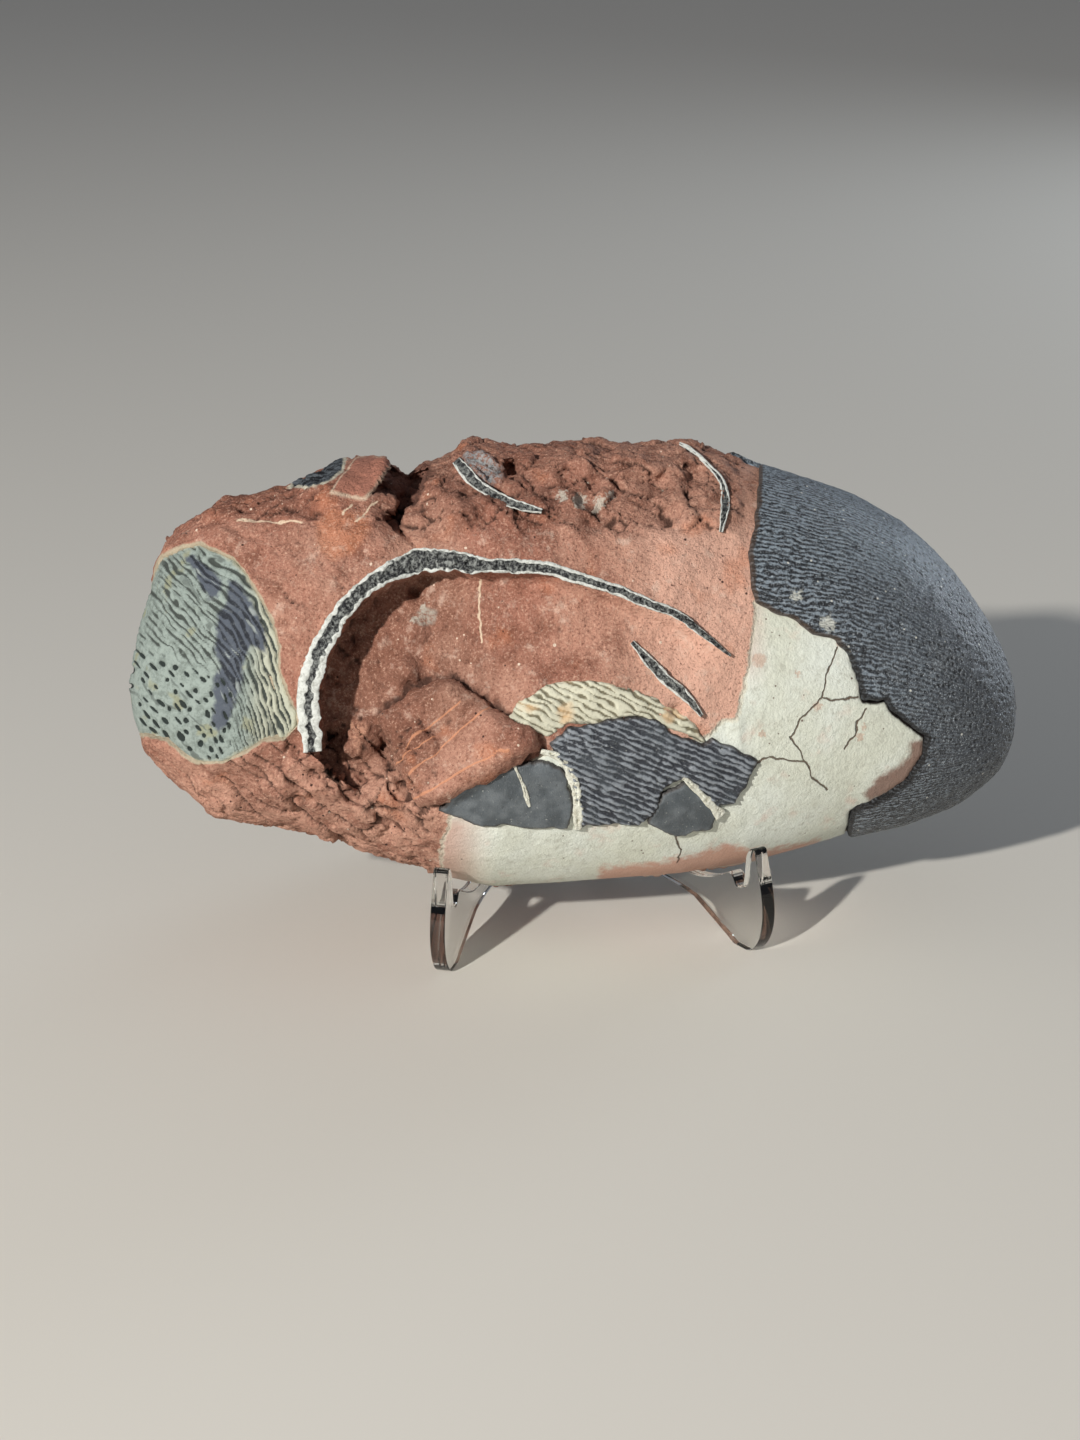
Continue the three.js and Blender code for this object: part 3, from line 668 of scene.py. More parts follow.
def shell_patch(name, material, along, rounds, edge, detail, proud, thickness, relief=True, closed=True):
    """A piece of shell cut out of the egg's surface grid: edge(u, v, facing) is positive inside it."""
    along, rounds = np.meshgrid(along, rounds, indexing="ij")
    u, v, _, facing = surface(along, rounds, proud, relief=False)
    along, rounds, kept = snap_to_edge(along, rounds, edge(u, v, facing))
    u, v, w, facing = surface(along, rounds, proud, relief)
    points = place(u, v, w)
    normals = grid_normals(points, wrap=False)
    height, values = detail(points, rounds, u, v, facing)
    inside = np.maximum(edge(u, v, facing), 0)
    lip = 0.35 * smooth(0.5, 0, inside)
    points = points + normals * (height * smooth(0, 0.7, inside) - lip)[..., None]
    quads = np.array(quad_faces(*u.shape, wrap=False))
    quads = quads[kept.ravel()[quads].all(axis=1)]
    used, quads = np.unique(quads, return_inverse=True)
    quads = quads.reshape(-1, 4)
    rim = rim_edges(quads)
    doubled = np.arange(len(used)) if closed else np.unique(rim)
    below = np.full(len(used), -1)
    below[doubled] = len(used) + np.arange(len(doubled))
    faces = quads.tolist()
    if closed:
        faces += below[quads[:, ::-1]].tolist()
    faces += [(b, a, below[a], below[b]) for a, b in rim]

    def on_top(field):
        return field.reshape(-1, *field.shape[2:])[used]

    def on_both(field):
        return np.concatenate([on_top(field), on_top(field)[doubled]])

    under = on_top(points) - on_top(normals) * thickness
    values = {"face_place": np.stack([u, v, facing], -1), "edge": inside, **values}
    values = {key: on_both(field) for key, field in values.items()}
    return new_piece(name, np.concatenate([on_top(points), under[doubled]]), faces, material, values)


def rim_edges(quads):
    """Edges that only one face uses, in that face's direction."""
    edges = np.concatenate([quads[:, [k, (k + 1) % 4]] for k in range(4)])
    key = np.sort(edges, axis=1)
    _, index, counts = np.unique(key, axis=0, return_index=True, return_counts=True)
    return edges[index[counts == 1]]


def snap_to_edge(along, rounds, inside):
    """Moves the grid points just outside an edge onto it, and says which points are then kept."""
    kept = inside > 0
    best = np.where(kept, 0, -1.0)
    new_along, new_rounds = along.copy(), rounds.copy()
    rows, ring = inside.shape
    for di in (-1, 0, 1):
        for dj in (-1, 0, 1):
            if di == 0 and dj == 0:
                continue
            here = (slice(max(0, -di), rows - max(0, di)), slice(max(0, -dj), ring - max(0, dj)))
            there = (slice(max(0, di), rows + min(0, di)), slice(max(0, dj), ring + min(0, dj)))
            outer, inner = inside[here], inside[there]
            reach = inner / np.where(di and dj, 1.6, 1.0)
            better = (outer <= 0) & (inner > 0) & (reach > best[here])
            share = np.where(better, -outer / np.maximum(inner - outer, 1e-9), 0)
            for old, new in ((along, new_along), (rounds, new_rounds)):
                new[here] = np.where(better, old[here] + share * (old[there] - old[here]), new[here])
            best[here] = np.where(better, reach, best[here])
            kept[here] |= better
    return new_along, new_rounds, kept


def steps_between(u_low, u_high, spacing):
    """Stations along the egg between two u, a spacing apart on its surface."""
    samples = np.linspace(float(along_angle(u_low)), float(along_angle(u_high)), 4000)
    _, length = surface_length(samples)
    count = max(4, int(length[-1] / spacing))
    return np.interp(np.linspace(0, length[-1], count), length, samples)


def even_curve(line, spacing):
    """A smooth curve through the points of a line, in equal steps, with its tangents."""
    points = np.array(line, float)
    ahead = np.vstack([2 * points[0] - points[1], points, 2 * points[-1] - points[-2]])
    t = np.linspace(0, 1, 40, endpoint=False)[:, None]
    parts = []
    for i in range(len(points) - 1):
        p0, p1, p2, p3 = ahead[i:i + 4]
        parts.append(0.5 * (2 * p1 + (p2 - p0) * t + (2 * p0 - 5 * p1 + 4 * p2 - p3) * t ** 2
                            + (3 * p1 - p0 - 3 * p2 + p3) * t ** 3))
    curve = np.vstack(parts + [points[-1:]])
    length = np.concatenate([[0], np.cumsum(np.linalg.norm(np.diff(curve, axis=0), axis=1))])
    marks = np.linspace(0, length[-1], max(6, int(length[-1] / spacing)))
    curve = np.stack([np.interp(marks, length, curve[:, axis]) for axis in (0, 1)], -1)
    tangents = np.gradient(curve, axis=0)
    return curve, tangents / np.linalg.norm(tangents, axis=1, keepdims=True), marks


def shell_strip(name, material, line, widths, stone_at, cores, seed, proud=ARC_PROUD, root=ARC_ROOT,
                across=19, ragged_by=0.2):
    """Shell seen edge on: a strip that follows its line, with pale rims and a dark crumbly core."""
    curve, tangents, marks = even_curve(line, STRIP_SPACING)
    t = marks / marks[-1]
    half = np.interp(t, np.linspace(0, 1, len(widths)), widths) / 2
    share = np.interp(t, np.linspace(0, 1, len(cores)), cores)[:, None]
    ragged = [
        value_noise(marks / 1.7, seed + side, 4.5) + 0.5 * value_noise(marks / 0.6, seed + side, 8.5)
        for side in (0, 9)
    ]
    c = np.linspace(-1, 1, across)[None, :]
    lean = 1 + ragged_by * np.where(c > 0, ragged[0][:, None], ragged[1][:, None])
    offset = c * lean * half[:, None]
    u = curve[:, :1] - offset * tangents[:, 1:]
    v = curve[:, 1:] + offset * tangents[:, :1]
    base = stone_at(curve[:, 0], curve[:, 1])[:, None]
    flat = np.stack([u, v, 0 * u], -1)
    wander = 0.22 * value_noise(marks / 3, seed, 2.5)[:, None]
    inner = np.abs(c + wander * (1 - share)) + 0.28 * layered_noise(flat, 1.3, seed, 2)
    core = smooth(share + 0.12, share - 0.12, inner)
    lumps, cracks = chips(flat, 0.95, seed + 3)
    crumbs = 0.45 * lumps - 0.5 * smooth(0.2, 0, cracks)
    rim_lumps = 0.12 * layered_noise(flat, 0.8, seed + 3, 2)
    hole = smooth(1.5, 0.5, np.hypot(u - ARC_HOLE[0], v - ARC_HOLE[1]))
    top_w = base - proud + 0.3 * np.abs(c) ** 4 + rim_lumps + core * (0.5 + crumbs) + 2.5 * hole
    rows, ring = u.shape
    grid = place(u, v, top_w)
    under = place(u[:, [-1, 0]], v[:, [-1, 0]], base + root)
    loop = np.concatenate([grid, under], axis=1)
    size = ring + 2
    faces = [f[::-1] for f in quad_faces(rows, size, wrap=True)]
    faces += [list(range(size)), [(rows - 1) * size + j for j in range(size)][::-1]]
    nothing = np.zeros((rows, 2))
    values = {
        "core": np.concatenate([core, nothing], axis=1).ravel(),
        "hole": np.concatenate([hole, nothing], axis=1).ravel(),
    }
    piece = new_piece(name, loop.reshape(-1, 3), faces, material, values)
    recalculated_normals(piece)
    return piece


def recalculated_normals(piece):
    work = bmesh.new()
    work.from_mesh(piece.data)
    bmesh.ops.recalc_face_normals(work, faces=work.faces[:])
    work.to_mesh(piece.data)
    work.free()


# Shaders
def linear(color):
    """A colour given as it is seen, 0 to 255, for the shader."""
    return tuple(((c / 255 + 0.055) / 1.055) ** 2.4 for c in color)


class Shade:
    """A node material with short calls for the nodes it needs. Sizes are in millimetres."""

    def __init__(self, name):
        self.material = bpy.data.materials.new(name)
        self.material.use_nodes = True
        self.tree = self.material.node_tree
        self.surface = self.tree.nodes["Principled BSDF"]
        self.position = self.node("ShaderNodeTexCoord").outputs["Object"]

    def node(self, kind, inputs=None, **settings):
        node = self.tree.nodes.new(kind)
        for key, value in settings.items():
            setattr(node, key, value)
        for key, value in (inputs or {}).items():
            self.put(node.inputs[key], value)
        return node

    def put(self, socket, value):
        if isinstance(value, bpy.types.NodeSocket):
            self.tree.links.new(value, socket)
        elif isinstance(value, tuple) and len(value) == 3 and socket.type == "RGBA":
            socket.default_value = (*value, 1)
        else:
            socket.default_value = value

    def math(self, operation, a, b=0.0):
        return self.node("ShaderNodeMath", {0: a, 1: b}, operation=operation).outputs[0]

    def times(self, a, b):
        return self.math("MULTIPLY", a, b)

    def plus(self, a, b):
        return self.math("ADD", a, b)

    def vectors(self, operation, a, b, output="Vector"):
        second = "Scale" if operation == "SCALE" else 1
        return self.node("ShaderNodeVectorMath", {0: a, second: b}, operation=operation).outputs[output]

    def value(self, name):
        return self.node("ShaderNodeAttribute", attribute_name=name).outputs["Fac"]

    def face(self):
        """The place on the face: u, v and how far it faces the front."""
        return self.node("ShaderNodeAttribute", attribute_name="face_place").outputs["Vector"]

    def part(self, vector, axis):
        return self.node("ShaderNodeSeparateXYZ", {0: vector}).outputs[axis]

    def noise(self, size, detail, roughness=0.55, distortion=0.0, scale=None):
        source = self.position
        if scale:
            source = self.node("ShaderNodeMapping", {"Vector": source, "Scale": scale}).outputs[0]
        inputs = {
            "Vector": source, "Scale": 1 / (size * MM), "Detail": detail, "Roughness": roughness,
            "Distortion": distortion,
        }
        return self.node("ShaderNodeTexNoise", inputs).outputs["Fac"]

    def wander(self, size, detail, roughness, amount, scale=None):
        """Noise about 0, to shake a distance with."""
        noise = self.noise(size, detail, roughness, scale=scale)
        return self.times(self.math("SUBTRACT", noise, 0.5), amount)

    def cells(self, size):
        inputs = {"Vector": self.position, "Scale": 1 / (size * MM)}
        return self.node("ShaderNodeTexVoronoi", inputs).outputs["Distance"]

    def specks(self, size, reach):
        """1 in a round speck of each cell, as far as its reach."""
        return self.math("LESS_THAN", self.cells(size), reach)

    def ramp(self, value, low, high, bottom=0.0, top=1.0):
        inputs = {"Value": value, "From Min": low, "From Max": high, "To Min": bottom, "To Max": top}
        node = self.node("ShaderNodeMapRange", inputs, interpolation_type="SMOOTHSTEP")
        return node.outputs["Result"]

    def fleck(self, size, detail, roughness, low, high, top=1.0, distortion=0.0):
        """Patches of noise: 0 where it is at low and top where it is at high."""
        return self.ramp(self.noise(size, detail, roughness, distortion), low, high, 0.0, top)

    def field(self, name, low, high, top=1.0):
        return self.ramp(self.value(name), low, high, 0.0, top)

    def along(self, axis, low, high, bottom=0.0, top=1.0, place=None):
        """Changes along an axis of the face: 0 is u and 1 is v."""
        return self.ramp(self.part(place or self.face(), axis), low, high, bottom, top)

    def mix(self, factor, a, b):
        node = self.node("ShaderNodeMix", data_type="RGBA")
        for socket, value in zip((0, 6, 7), (factor, a, b)):
            self.put(node.inputs[socket], linear(value) if isinstance(value, tuple) else value)
        return node.outputs[2]

    def paint(self, color, *layers):
        """Lays colours over a colour, each as far as its factor says."""
        for factor, shade in layers:
            color = self.mix(factor, color, shade)
        return color

    def blend(self, factor, a, b):
        return self.node("ShaderNodeMix", {0: factor, 2: a, 3: b}, data_type="FLOAT").outputs[0]

    def on_front(self):
        """1 on the broken side of the egg and 0 on its back."""
        return self.math("GREATER_THAN", self.part(self.face(), 2), 0.0)

    def wandering_place(self, size, amount):
        """The place on the face, shaken by noise, so that lines and outlines drawn with it wander."""
        source = {"Vector": self.position, "Scale": 1 / (size * MM), "Detail": 3.0}
        noise = self.node("ShaderNodeTexNoise", source).outputs["Color"]
        shift = self.vectors("SCALE", self.vectors("SUBTRACT", noise, (0.5, 0.5, 0.5)), amount)
        return self.vectors("ADD", self.face(), shift)

    def smallest(self, values):
        best = values[0]
        for value in values[1:]:
            best = self.math("MINIMUM", best, value)
        return best

    def near_spots(self, spots, place):
        """1 inside round spots of the face, given by u, v and radius."""
        flat = self.vectors("MULTIPLY", place, (1, 1, 0))
        shares = []
        for u, v, radius in spots:
            gap = self.vectors("DISTANCE", flat, (u, v, 0), "Value")
            shares.append(self.math("DIVIDE", gap, radius))
        return self.times(self.ramp(self.smallest(shares), 1.0, 0.5), self.on_front())

    def near_lines(self, lines, width, place=None):
        """1 on thin lines of the face, given by their u, v points, and 0 beside them."""
        flat = self.vectors("MULTIPLY", place or self.face(), (1, 1, 0))
        gaps = []
        for line in lines:
            for (au, av), (bu, bv) in zip(line, line[1:]):
                run = (bu - au, bv - av, 0)
                away = self.vectors("SUBTRACT", flat, (au, av, 0))
                dot = self.vectors("DOT_PRODUCT", away, run, "Value")
                share = self.math("DIVIDE", dot, run[0] ** 2 + run[1] ** 2)
                share = self.node("ShaderNodeClamp", {"Value": share}).outputs[0]
                gaps.append(self.vectors("DISTANCE", away, self.vectors("SCALE", run, share), "Value"))
        return self.times(self.ramp(self.smallest(gaps), width, 0.35 * width), self.on_front())

    def bump(self, height, distance):
        inputs = {"Height": height, "Distance": distance * MM, "Strength": 1.0}
        return self.node("ShaderNodeBump", inputs).outputs["Normal"]

    def finish(self, color, roughness, normal=None, specular=0.4):
        self.put(self.surface.inputs["Base Color"], color)
        self.put(self.surface.inputs["Roughness"], roughness)
        self.surface.inputs["Specular IOR Level"].default_value = specular
        if normal is not None:
            self.put(self.surface.inputs["Normal"], normal)
        return self.material


def red_color(s):
    """The red stone: mottled and speckled, with painted shade in its crevices, its hollow and its notch.
    """
    fine = s.noise(0.55, 3, 0.75)
    lower_left = s.times(s.along(0, -22, -38), s.along(1, -12, -24, top=0.7))
    calm = s.times(s.along(0, 8, 22), s.along(1, 32, 25))
    mottle = s.times(s.fleck(5, 4, 0.6, 0.42, 0.72, 0.7), s.ramp(calm, 0, 1, 1.0, 0.25))
    color = s.paint(
        RED_STONE,
        (s.fleck(22, 3, 0.55, 0.35, 0.68), RED_PALE),
        (s.along(0, -8, 24, top=0.8), (212, 164, 142)),
        (lower_left, (214, 166, 144)),
        (mottle, RED_DARK),
        (s.times(calm, 0.55), (232, 186, 166)),
        # Painted shade: the broken stone darker towards the top, for the small shadows among its chips
        (s.times(s.value("rough"), s.along(1, 18, 28, 0.2, 0.5)), (124, 80, 64)),
        # Painted shade: darker the deeper the hollow
        (s.field("hollow", 4, 9.5, 0.55), (118, 80, 64)),
        (s.fleck(9, 2, 0.55, 0.6, 0.75, 0.4), (198, 124, 88)),
        (s.field("orange_stain", -0.8, 1.2, 0.4), (206, 132, 92)),
        (s.ramp(fine, 0.52, 0.7, 0.0, 0.65), (218, 178, 156)),
        (s.ramp(fine, 0.47, 0.32, 0.0, 0.7), (96, 60, 48)),
    )
    for size, reach, shade in ((2.6, 0.13, (228, 208, 188)), (1.9, 0.15, (72, 48, 42))):
        reaches = s.fleck(9, 1, 0.55, 0.45, 0.7, reach, distortion=size)
        color = s.mix(s.specks(size, reaches), color, shade)
    dust = s.times(s.fleck(3.4, 5, 0.7, 0.54, 0.7, 0.55), s.field("rough", 0.6, 0.2))
    return s.paint(
        color,
        (dust, (222, 192, 174)),
        # Painted shade: darker where the stone lies below what is round it, in crevices and pits
        (s.field("cavity", 0.15, 1.0, 0.85), CREVICE_SHADE),
        # Painted shade deep in the notch
        (s.field("notch", -0.3, 0.8, 0.6), (84, 52, 46)),
    )


def bare_color(s, place):
    """The pale stone, where the shell has come off and left the smooth inside bare."""
    left = s.times(s.along(0, 41, 35, place=place), s.along(1, -6, 2, place=place))
    lower = s.times(s.along(0, -14, -25, place=place), s.along(1, -28, -33, place=place))
    rust = s.near_spots(RUST_SPOTS, s.wandering_place(0.7, 2.4))
    stain = s.plus(s.value("stain"), s.times(s.noise(1.2, 3, 0.7), 1.6))
    foot_stain = s.plus(s.value("foot_stain"), s.times(s.noise(2.5, 4, 0.7), 4))
    return s.paint(
        BARE_PALE,
        (s.fleck(16, 3, 0.55, 0.3, 0.7), (212, 215, 200)),
        (s.fleck(2.2, 5, 0.8, 0.48, 0.7, 0.6), (178, 178, 164)),
        (s.fleck(0.5, 3, 0.7, 0.56, 0.7, 0.35), (232, 232, 222)),
        (s.fleck(6.5, 3, 0.6, 0.6, 0.78, 0.4), (212, 174, 158)),
        (s.times(left, 0.4), (212, 168, 156)),
        (s.times(lower, 0.7), (186, 134, 116)),
        (s.times(rust, 0.5), (190, 146, 122)),
        (s.ramp(stain, 0.2, 1.6, 0.0, 0.85), (122, 84, 70)),
        (s.ramp(foot_stain, 1.2, 3, 0.0, 0.8), (198, 142, 120)),
        (s.specks(2.3, s.fleck(8, 1, 0.55, 0.4, 0.7, 0.11)), (120, 108, 96)),
        (s.near_lines(CRACKS, 0.17, place), (104, 88, 74)),
    )


def stone_material():
    s = Shade("red_stone")
    place = s.wandering_place(2.2, 1.5)
    wander = s.wander(2.4, 4, 0.65, 2.6)
    small_wander = s.times(wander, 0.4)
    bare = s.plus(s.value("bare"), wander)
    cream_edge = s.math("ABSOLUTE", s.math("SUBTRACT", bare, 0.1))
    end_rim = s.plus(s.value("end_edge"), s.times(wander, 0.5))
    crystals = s.near_spots(CRYSTALS, s.wandering_place(0.8, 3.5))
    color = s.paint(
        red_color(s),
        (s.ramp(bare, -0.5, 0.5), bare_color(s, place)),
        (s.ramp(cream_edge, 0.7, 0.2, 0.0, 0.6), CALCITE),
        (s.ramp(end_rim, 0.5, 0.1, 0.0, 0.75), (186, 180, 156)),
        (s.times(crystals, 0.8), (206, 198, 184)),
        (s.field("red_slab", -0.4, 0.1), (204, 182, 160)),
        (s.field("red_slab", 0.0, 0.5), (170, 116, 98)),
    )
    streaky = s.fleck(0.8, 4, 0.7, 0.38, 0.56)
    streaked = {"pale_smear": (178, 172, 160), "blue_slab": (164, 170, 172), "pale_block": (200, 150, 126)}
    for name, shade in streaked.items():
        inside = s.ramp(s.plus(s.value(name), small_wander), -0.4, 0.8, 0.0, 0.8)
        color = s.mix(s.times(inside, streaky), color, shade)
    scrap = s.plus(s.value("ridged_scrap"), small_wander)
    ridges = s.ramp(s.noise(0.7, 3, 0.6, scale=(0.35, 1, 1)), 0.4, 0.6)
    color = s.paint(
        color,
        (s.ramp(scrap, -0.7, -0.2), (196, 190, 172)),
        (s.ramp(scrap, -0.1, 0.3), s.mix(ridges, SLATE_DARK, (96, 102, 108))),
        (s.times(s.near_lines(TOOL_MARKS, 0.26), 0.75), (214, 150, 116)),
        (s.near_lines(PALE_STROKES, 0.3, place), (222, 198, 172)),
        # Painted shadow: near black in the crevice along the cap's edge
        (s.ramp(s.plus(s.value("crevice"), small_wander), 1.0, 0.55), (30, 24, 22)),
    )
    height = s.plus(s.times(s.noise(0.42, 5, 0.7), 0.6), s.times(s.noise(1.3, 3, 0.6), 0.8))
    height = s.times(height, s.ramp(bare, 0.4, -0.4, 0.5, 1.0))
    height = s.math("SUBTRACT", height, s.times(s.near_lines(CRACKS, 0.24, place), 0.8))
    return s.finish(color, s.ramp(bare, -0.5, 0.5, 0.88, 0.6), s.bump(height, 0.7), 0.25)


def cap_material():
    s = Shade("shell_cap")
    ridged = s.value("ridged")
    waves = s.math("COSINE", s.times(s.value("around"), 2 * math.pi / CAP_THREADS))
    threads = s.ramp(s.plus(waves, s.wander(0.7, 4, 0.7, 11, scale=(0.6, 1, 1))), -1.5, 1.1)
    grain = s.blend(ridged, s.ramp(s.cells(1.1), 0.2, 0.5), threads)
    # Painted light and shade: the slate darker towards the bottom and the right end, and lighter towards
    # the top
    base = s.paint(
        SLATE,
        (s.along(1, -4, -24), (58, 55, 55)),
        (s.along(0, 60, 82), (70, 74, 80)),
        (s.along(1, 12, 24, top=0.75), (134, 147, 158)),
        (s.fleck(7, 3, 0.55, 0.5, 0.7, 0.35), (112, 116, 118)),
    )
    fine = s.noise(0.34, 3, 0.75)
    # The cap's broken edge: brown above, and near black lower down as painted shadow under the shell
    rim = s.mix(s.along(1, 6, 2), (74, 58, 46), (24, 21, 20))
    color = s.paint(
        s.mix(grain, SLATE_DARK, base),
        (s.times(s.ramp(threads, 0.6, 1.0, 0.0, 0.6), ridged), SLATE_LIGHT),
        (s.ramp(fine, 0.45, 0.32, 0.0, 0.6), SLATE_DARK),
        # Painted glints: fine pale flecks on the slate; the larger specks are pale grains that also stand
        # in for glints
        (s.ramp(fine, 0.54, 0.66, 0.0, 0.8), (184, 192, 198)),
        (s.specks(3.4, 0.07), (214, 214, 206)),
        (s.near_spots(CAP_SPOTS, s.wandering_place(0.7, 4)), (206, 208, 200)),
        (s.field("edge", 0.8, 0.3, 0.85), rim),
    )
    return s.finish(color, 0.44, s.bump(s.plus(grain, s.times(fine, 0.7)), 0.34), 0.5)


def plate_material(name, dark, light, roughness):
    s = Shade(name)
    grit = s.noise(0.38, 3, 0.75)
    color = s.paint(
        dark,
        (s.field("crest", 0.2, 0.9), light),
        (s.fleck(5, 3, 0.55, 0.4, 0.7, 0.4), (84, 92, 98)),
        (s.fleck(0.5, 2, 0.7, 0.66, 0.74, 0.6), (196, 198, 192)),
        (s.fleck(0.6, 2, 0.7, 0.36, 0.28, 0.6, distortion=0.6), (40, 40, 42)),
        (s.field("edge", 0.45, 0.05, 0.75), (52, 42, 36)),
        (s.ramp(grit, 0.54, 0.7, 0.0, 0.55), light),
        (s.ramp(grit, 0.46, 0.32, 0.0, 0.55), dark),
    )
    return s.finish(color, roughness, s.bump(grit, 0.16), 0.45)


def imprint_material():
    s = Shade("shell_imprint")
    color = s.paint(
        (112, 107, 88),
        (s.field("crest", 0.1, 0.75), (202, 200, 180)),
        (s.fleck(6, 2, 0.55, 0.52, 0.68, 0.7), (212, 178, 136)),
        (s.fleck(0.6, 3, 0.7, 0.55, 0.7, 0.4), (160, 150, 128)),
    )
    return s.finish(color, 0.8, s.bump(s.noise(0.5, 4, 0.6), 0.22), 0.3)


def end_material():
    s = Shade("egg_end")
    dark = s.value("dark")
    scratch = s.value("scratch")
    wander = s.wander(1.6, 3, 0.6, 1.8)
    pale = s.paint(
        END_PALE,
        (s.fleck(1.6, 5, 0.8, 0.42, 0.64, 0.75), (112, 122, 116)),
        (s.fleck(5, 2, 0.55, 0.58, 0.7, 0.6), (150, 148, 112)),
        (s.along(0, -66, -60), (190, 192, 174)),
    )
    pale = s.mix(s.field("crest", 0.1, 0.8), (66, 72, 68), pale)
    slate = s.paint(
        (40, 44, 52),
        (s.field("crest", 0.4, 1.0), (84, 91, 102)),
        (s.fleck(0.7, 3, 0.7, 0.5, 0.72, 0.4), (112, 118, 122)),
        (s.ramp(scratch, 0.35, 0.75, 0.0, 0.8), (158, 166, 164)),
    )
    pale_scratch = s.times(s.ramp(scratch, -0.4, -0.8, 0.0, 0.7), s.ramp(dark, 0.2, -0.6))
    color = s.paint(
        pale,
        (s.ramp(s.plus(dark, wander), -0.4, 0.7), slate),
        (pale_scratch, (88, 96, 92)),
        (s.field("dashes", 0.25, 0.7), (40, 48, 46)),
        (s.ramp(s.plus(s.value("edge"), wander), 0.9, 0.1, 0.0, 0.6), (190, 190, 168)),
    )
    return s.finish(color, 0.72, s.bump(s.noise(0.5, 4, 0.7), 0.4), 0.35)


def edge_shell_material():
    s = Shade("shell_edge")
    dark = s.mix(s.fleck(0.8, 4, 0.75, 0.42, 0.62), (30, 31, 35), (140, 143, 140))
    rim = s.mix(s.fleck(1.1, 4, 0.75, 0.42, 0.66, 0.7), (216, 219, 214), (152, 154, 146))
    core = s.plus(s.value("core"), s.wander(0.8, 3, 0.7, 0.9))
    # The hole in the arc is painted near black as the shade inside it
    color = s.paint(rim, (s.ramp(core, 0.25, 0.6), dark), (s.field("hole", 0.2, 0.7), (14, 13, 13)))
    return s.finish(color, 0.7, s.bump(s.noise(0.45, 5, 0.7), 0.32), 0.4)


def calcite_material():
    s = Shade("calcite")
    color = s.paint(
        (226, 227, 214),
        (s.fleck(1.2, 3, 0.7, 0.4, 0.75), (186, 182, 164)),
        (s.fleck(0.5, 3, 0.75, 0.56, 0.68, 0.5), (124, 104, 88)),
    )
    return s.finish(color, 0.75, s.bump(s.noise(0.5, 4, 0.7), 0.35), 0.4)


def clear_material():
    s = Shade("clear_acrylic")
    s.surface.inputs["Base Color"].default_value = (0.94, 0.95, 0.93, 1)
    s.surface.inputs["Roughness"].default_value = 0.03
    s.surface.inputs["IOR"].default_value = 1.49
    s.surface.inputs["Transmission Weight"].default_value = 1.0
    return s.material


# Shell pieces
def cap_detail(points, rounds, u, v, facing):
    lengthwise = smooth(88, 50, u + 0.25 * v) * smooth(-0.35, 0.35, facing)
    around = rounds * 40 + 0.6 * layered_noise(points * [0.6, 1, 1], 2.2, 6, 3)
    pores = layered_noise(points * [0.6, 1, 1], 1.1, 12, 2)
    return 0.14 * pores + 0.3 * layered_noise(points, 16, 14, 2), {"ridged": lengthwise, "around": around}


def ridged_detail(points, rounds, u, v, facing):
    length, across = slanted(u, v, 22)
    across = across + 0.34 * drawn_out_noise(length, across, 1.6, 1.4, 2, 3)
    waves = 0.5 + 0.5 * np.cos(2 * math.pi * across / PLATE_RIDGES)
    crest = smooth(0.15, 1.0, waves + 0.5 * drawn_out_noise(length, across, 1.5, 0.9, 7, 2))
    return 0.5 * crest, {"crest": crest}


def plain_detail(points, rounds, u, v, facing):
    crest = 0.5 + 0.5 * layered_noise(points, 3, 3, 3)
    return 0.08 * crest, {"crest": np.clip(crest, 0, 1)}


def imprint_detail(points, rounds, u, v, facing):
    length, across = slanted(u, v, 27)
    across = across + 0.5 * drawn_out_noise(length, across, 1.8, 1.5, 4, 2)
    waves = 0.5 + 0.5 * np.cos(2 * math.pi * across / IMPRINT_RIDGES)
    crest = smooth(-0.05, 0.6, waves + 0.45 * drawn_out_noise(length, across, 1.6, 0.9, 5, 2))
    return 0.45 * crest, {"crest": crest}


def dash_field(length, across):
    """Small dashes, one in most cells of a grid; 1 inside a dash."""
    best = np.full(length.shape, 9.0)
    i, j = np.floor(length / DASH_GRID[0]), np.floor(across / DASH_GRID[1])
    for step in range(9):
        row, column = i + step % 3 - 1, j + step // 3 - 1
        chance, shift, lift, length_share, width_share = (
            cell_value(row, column, seed) for seed in (25, 4, 32, 11, 18)
        )
        along = length - (row + 0.25) * DASH_GRID[0] - 1.5 * shift
        beside = across - (column + 0.3) * DASH_GRID[1] - 0.7 * lift
        gap = (along / (0.4 + 0.8 * length_share)) ** 2 + (beside / (0.3 + 0.2 * width_share)) ** 2
        best = np.minimum(best, np.where(chance > 0.86, 9, gap))
    return smooth(1.5, 0.6, best)


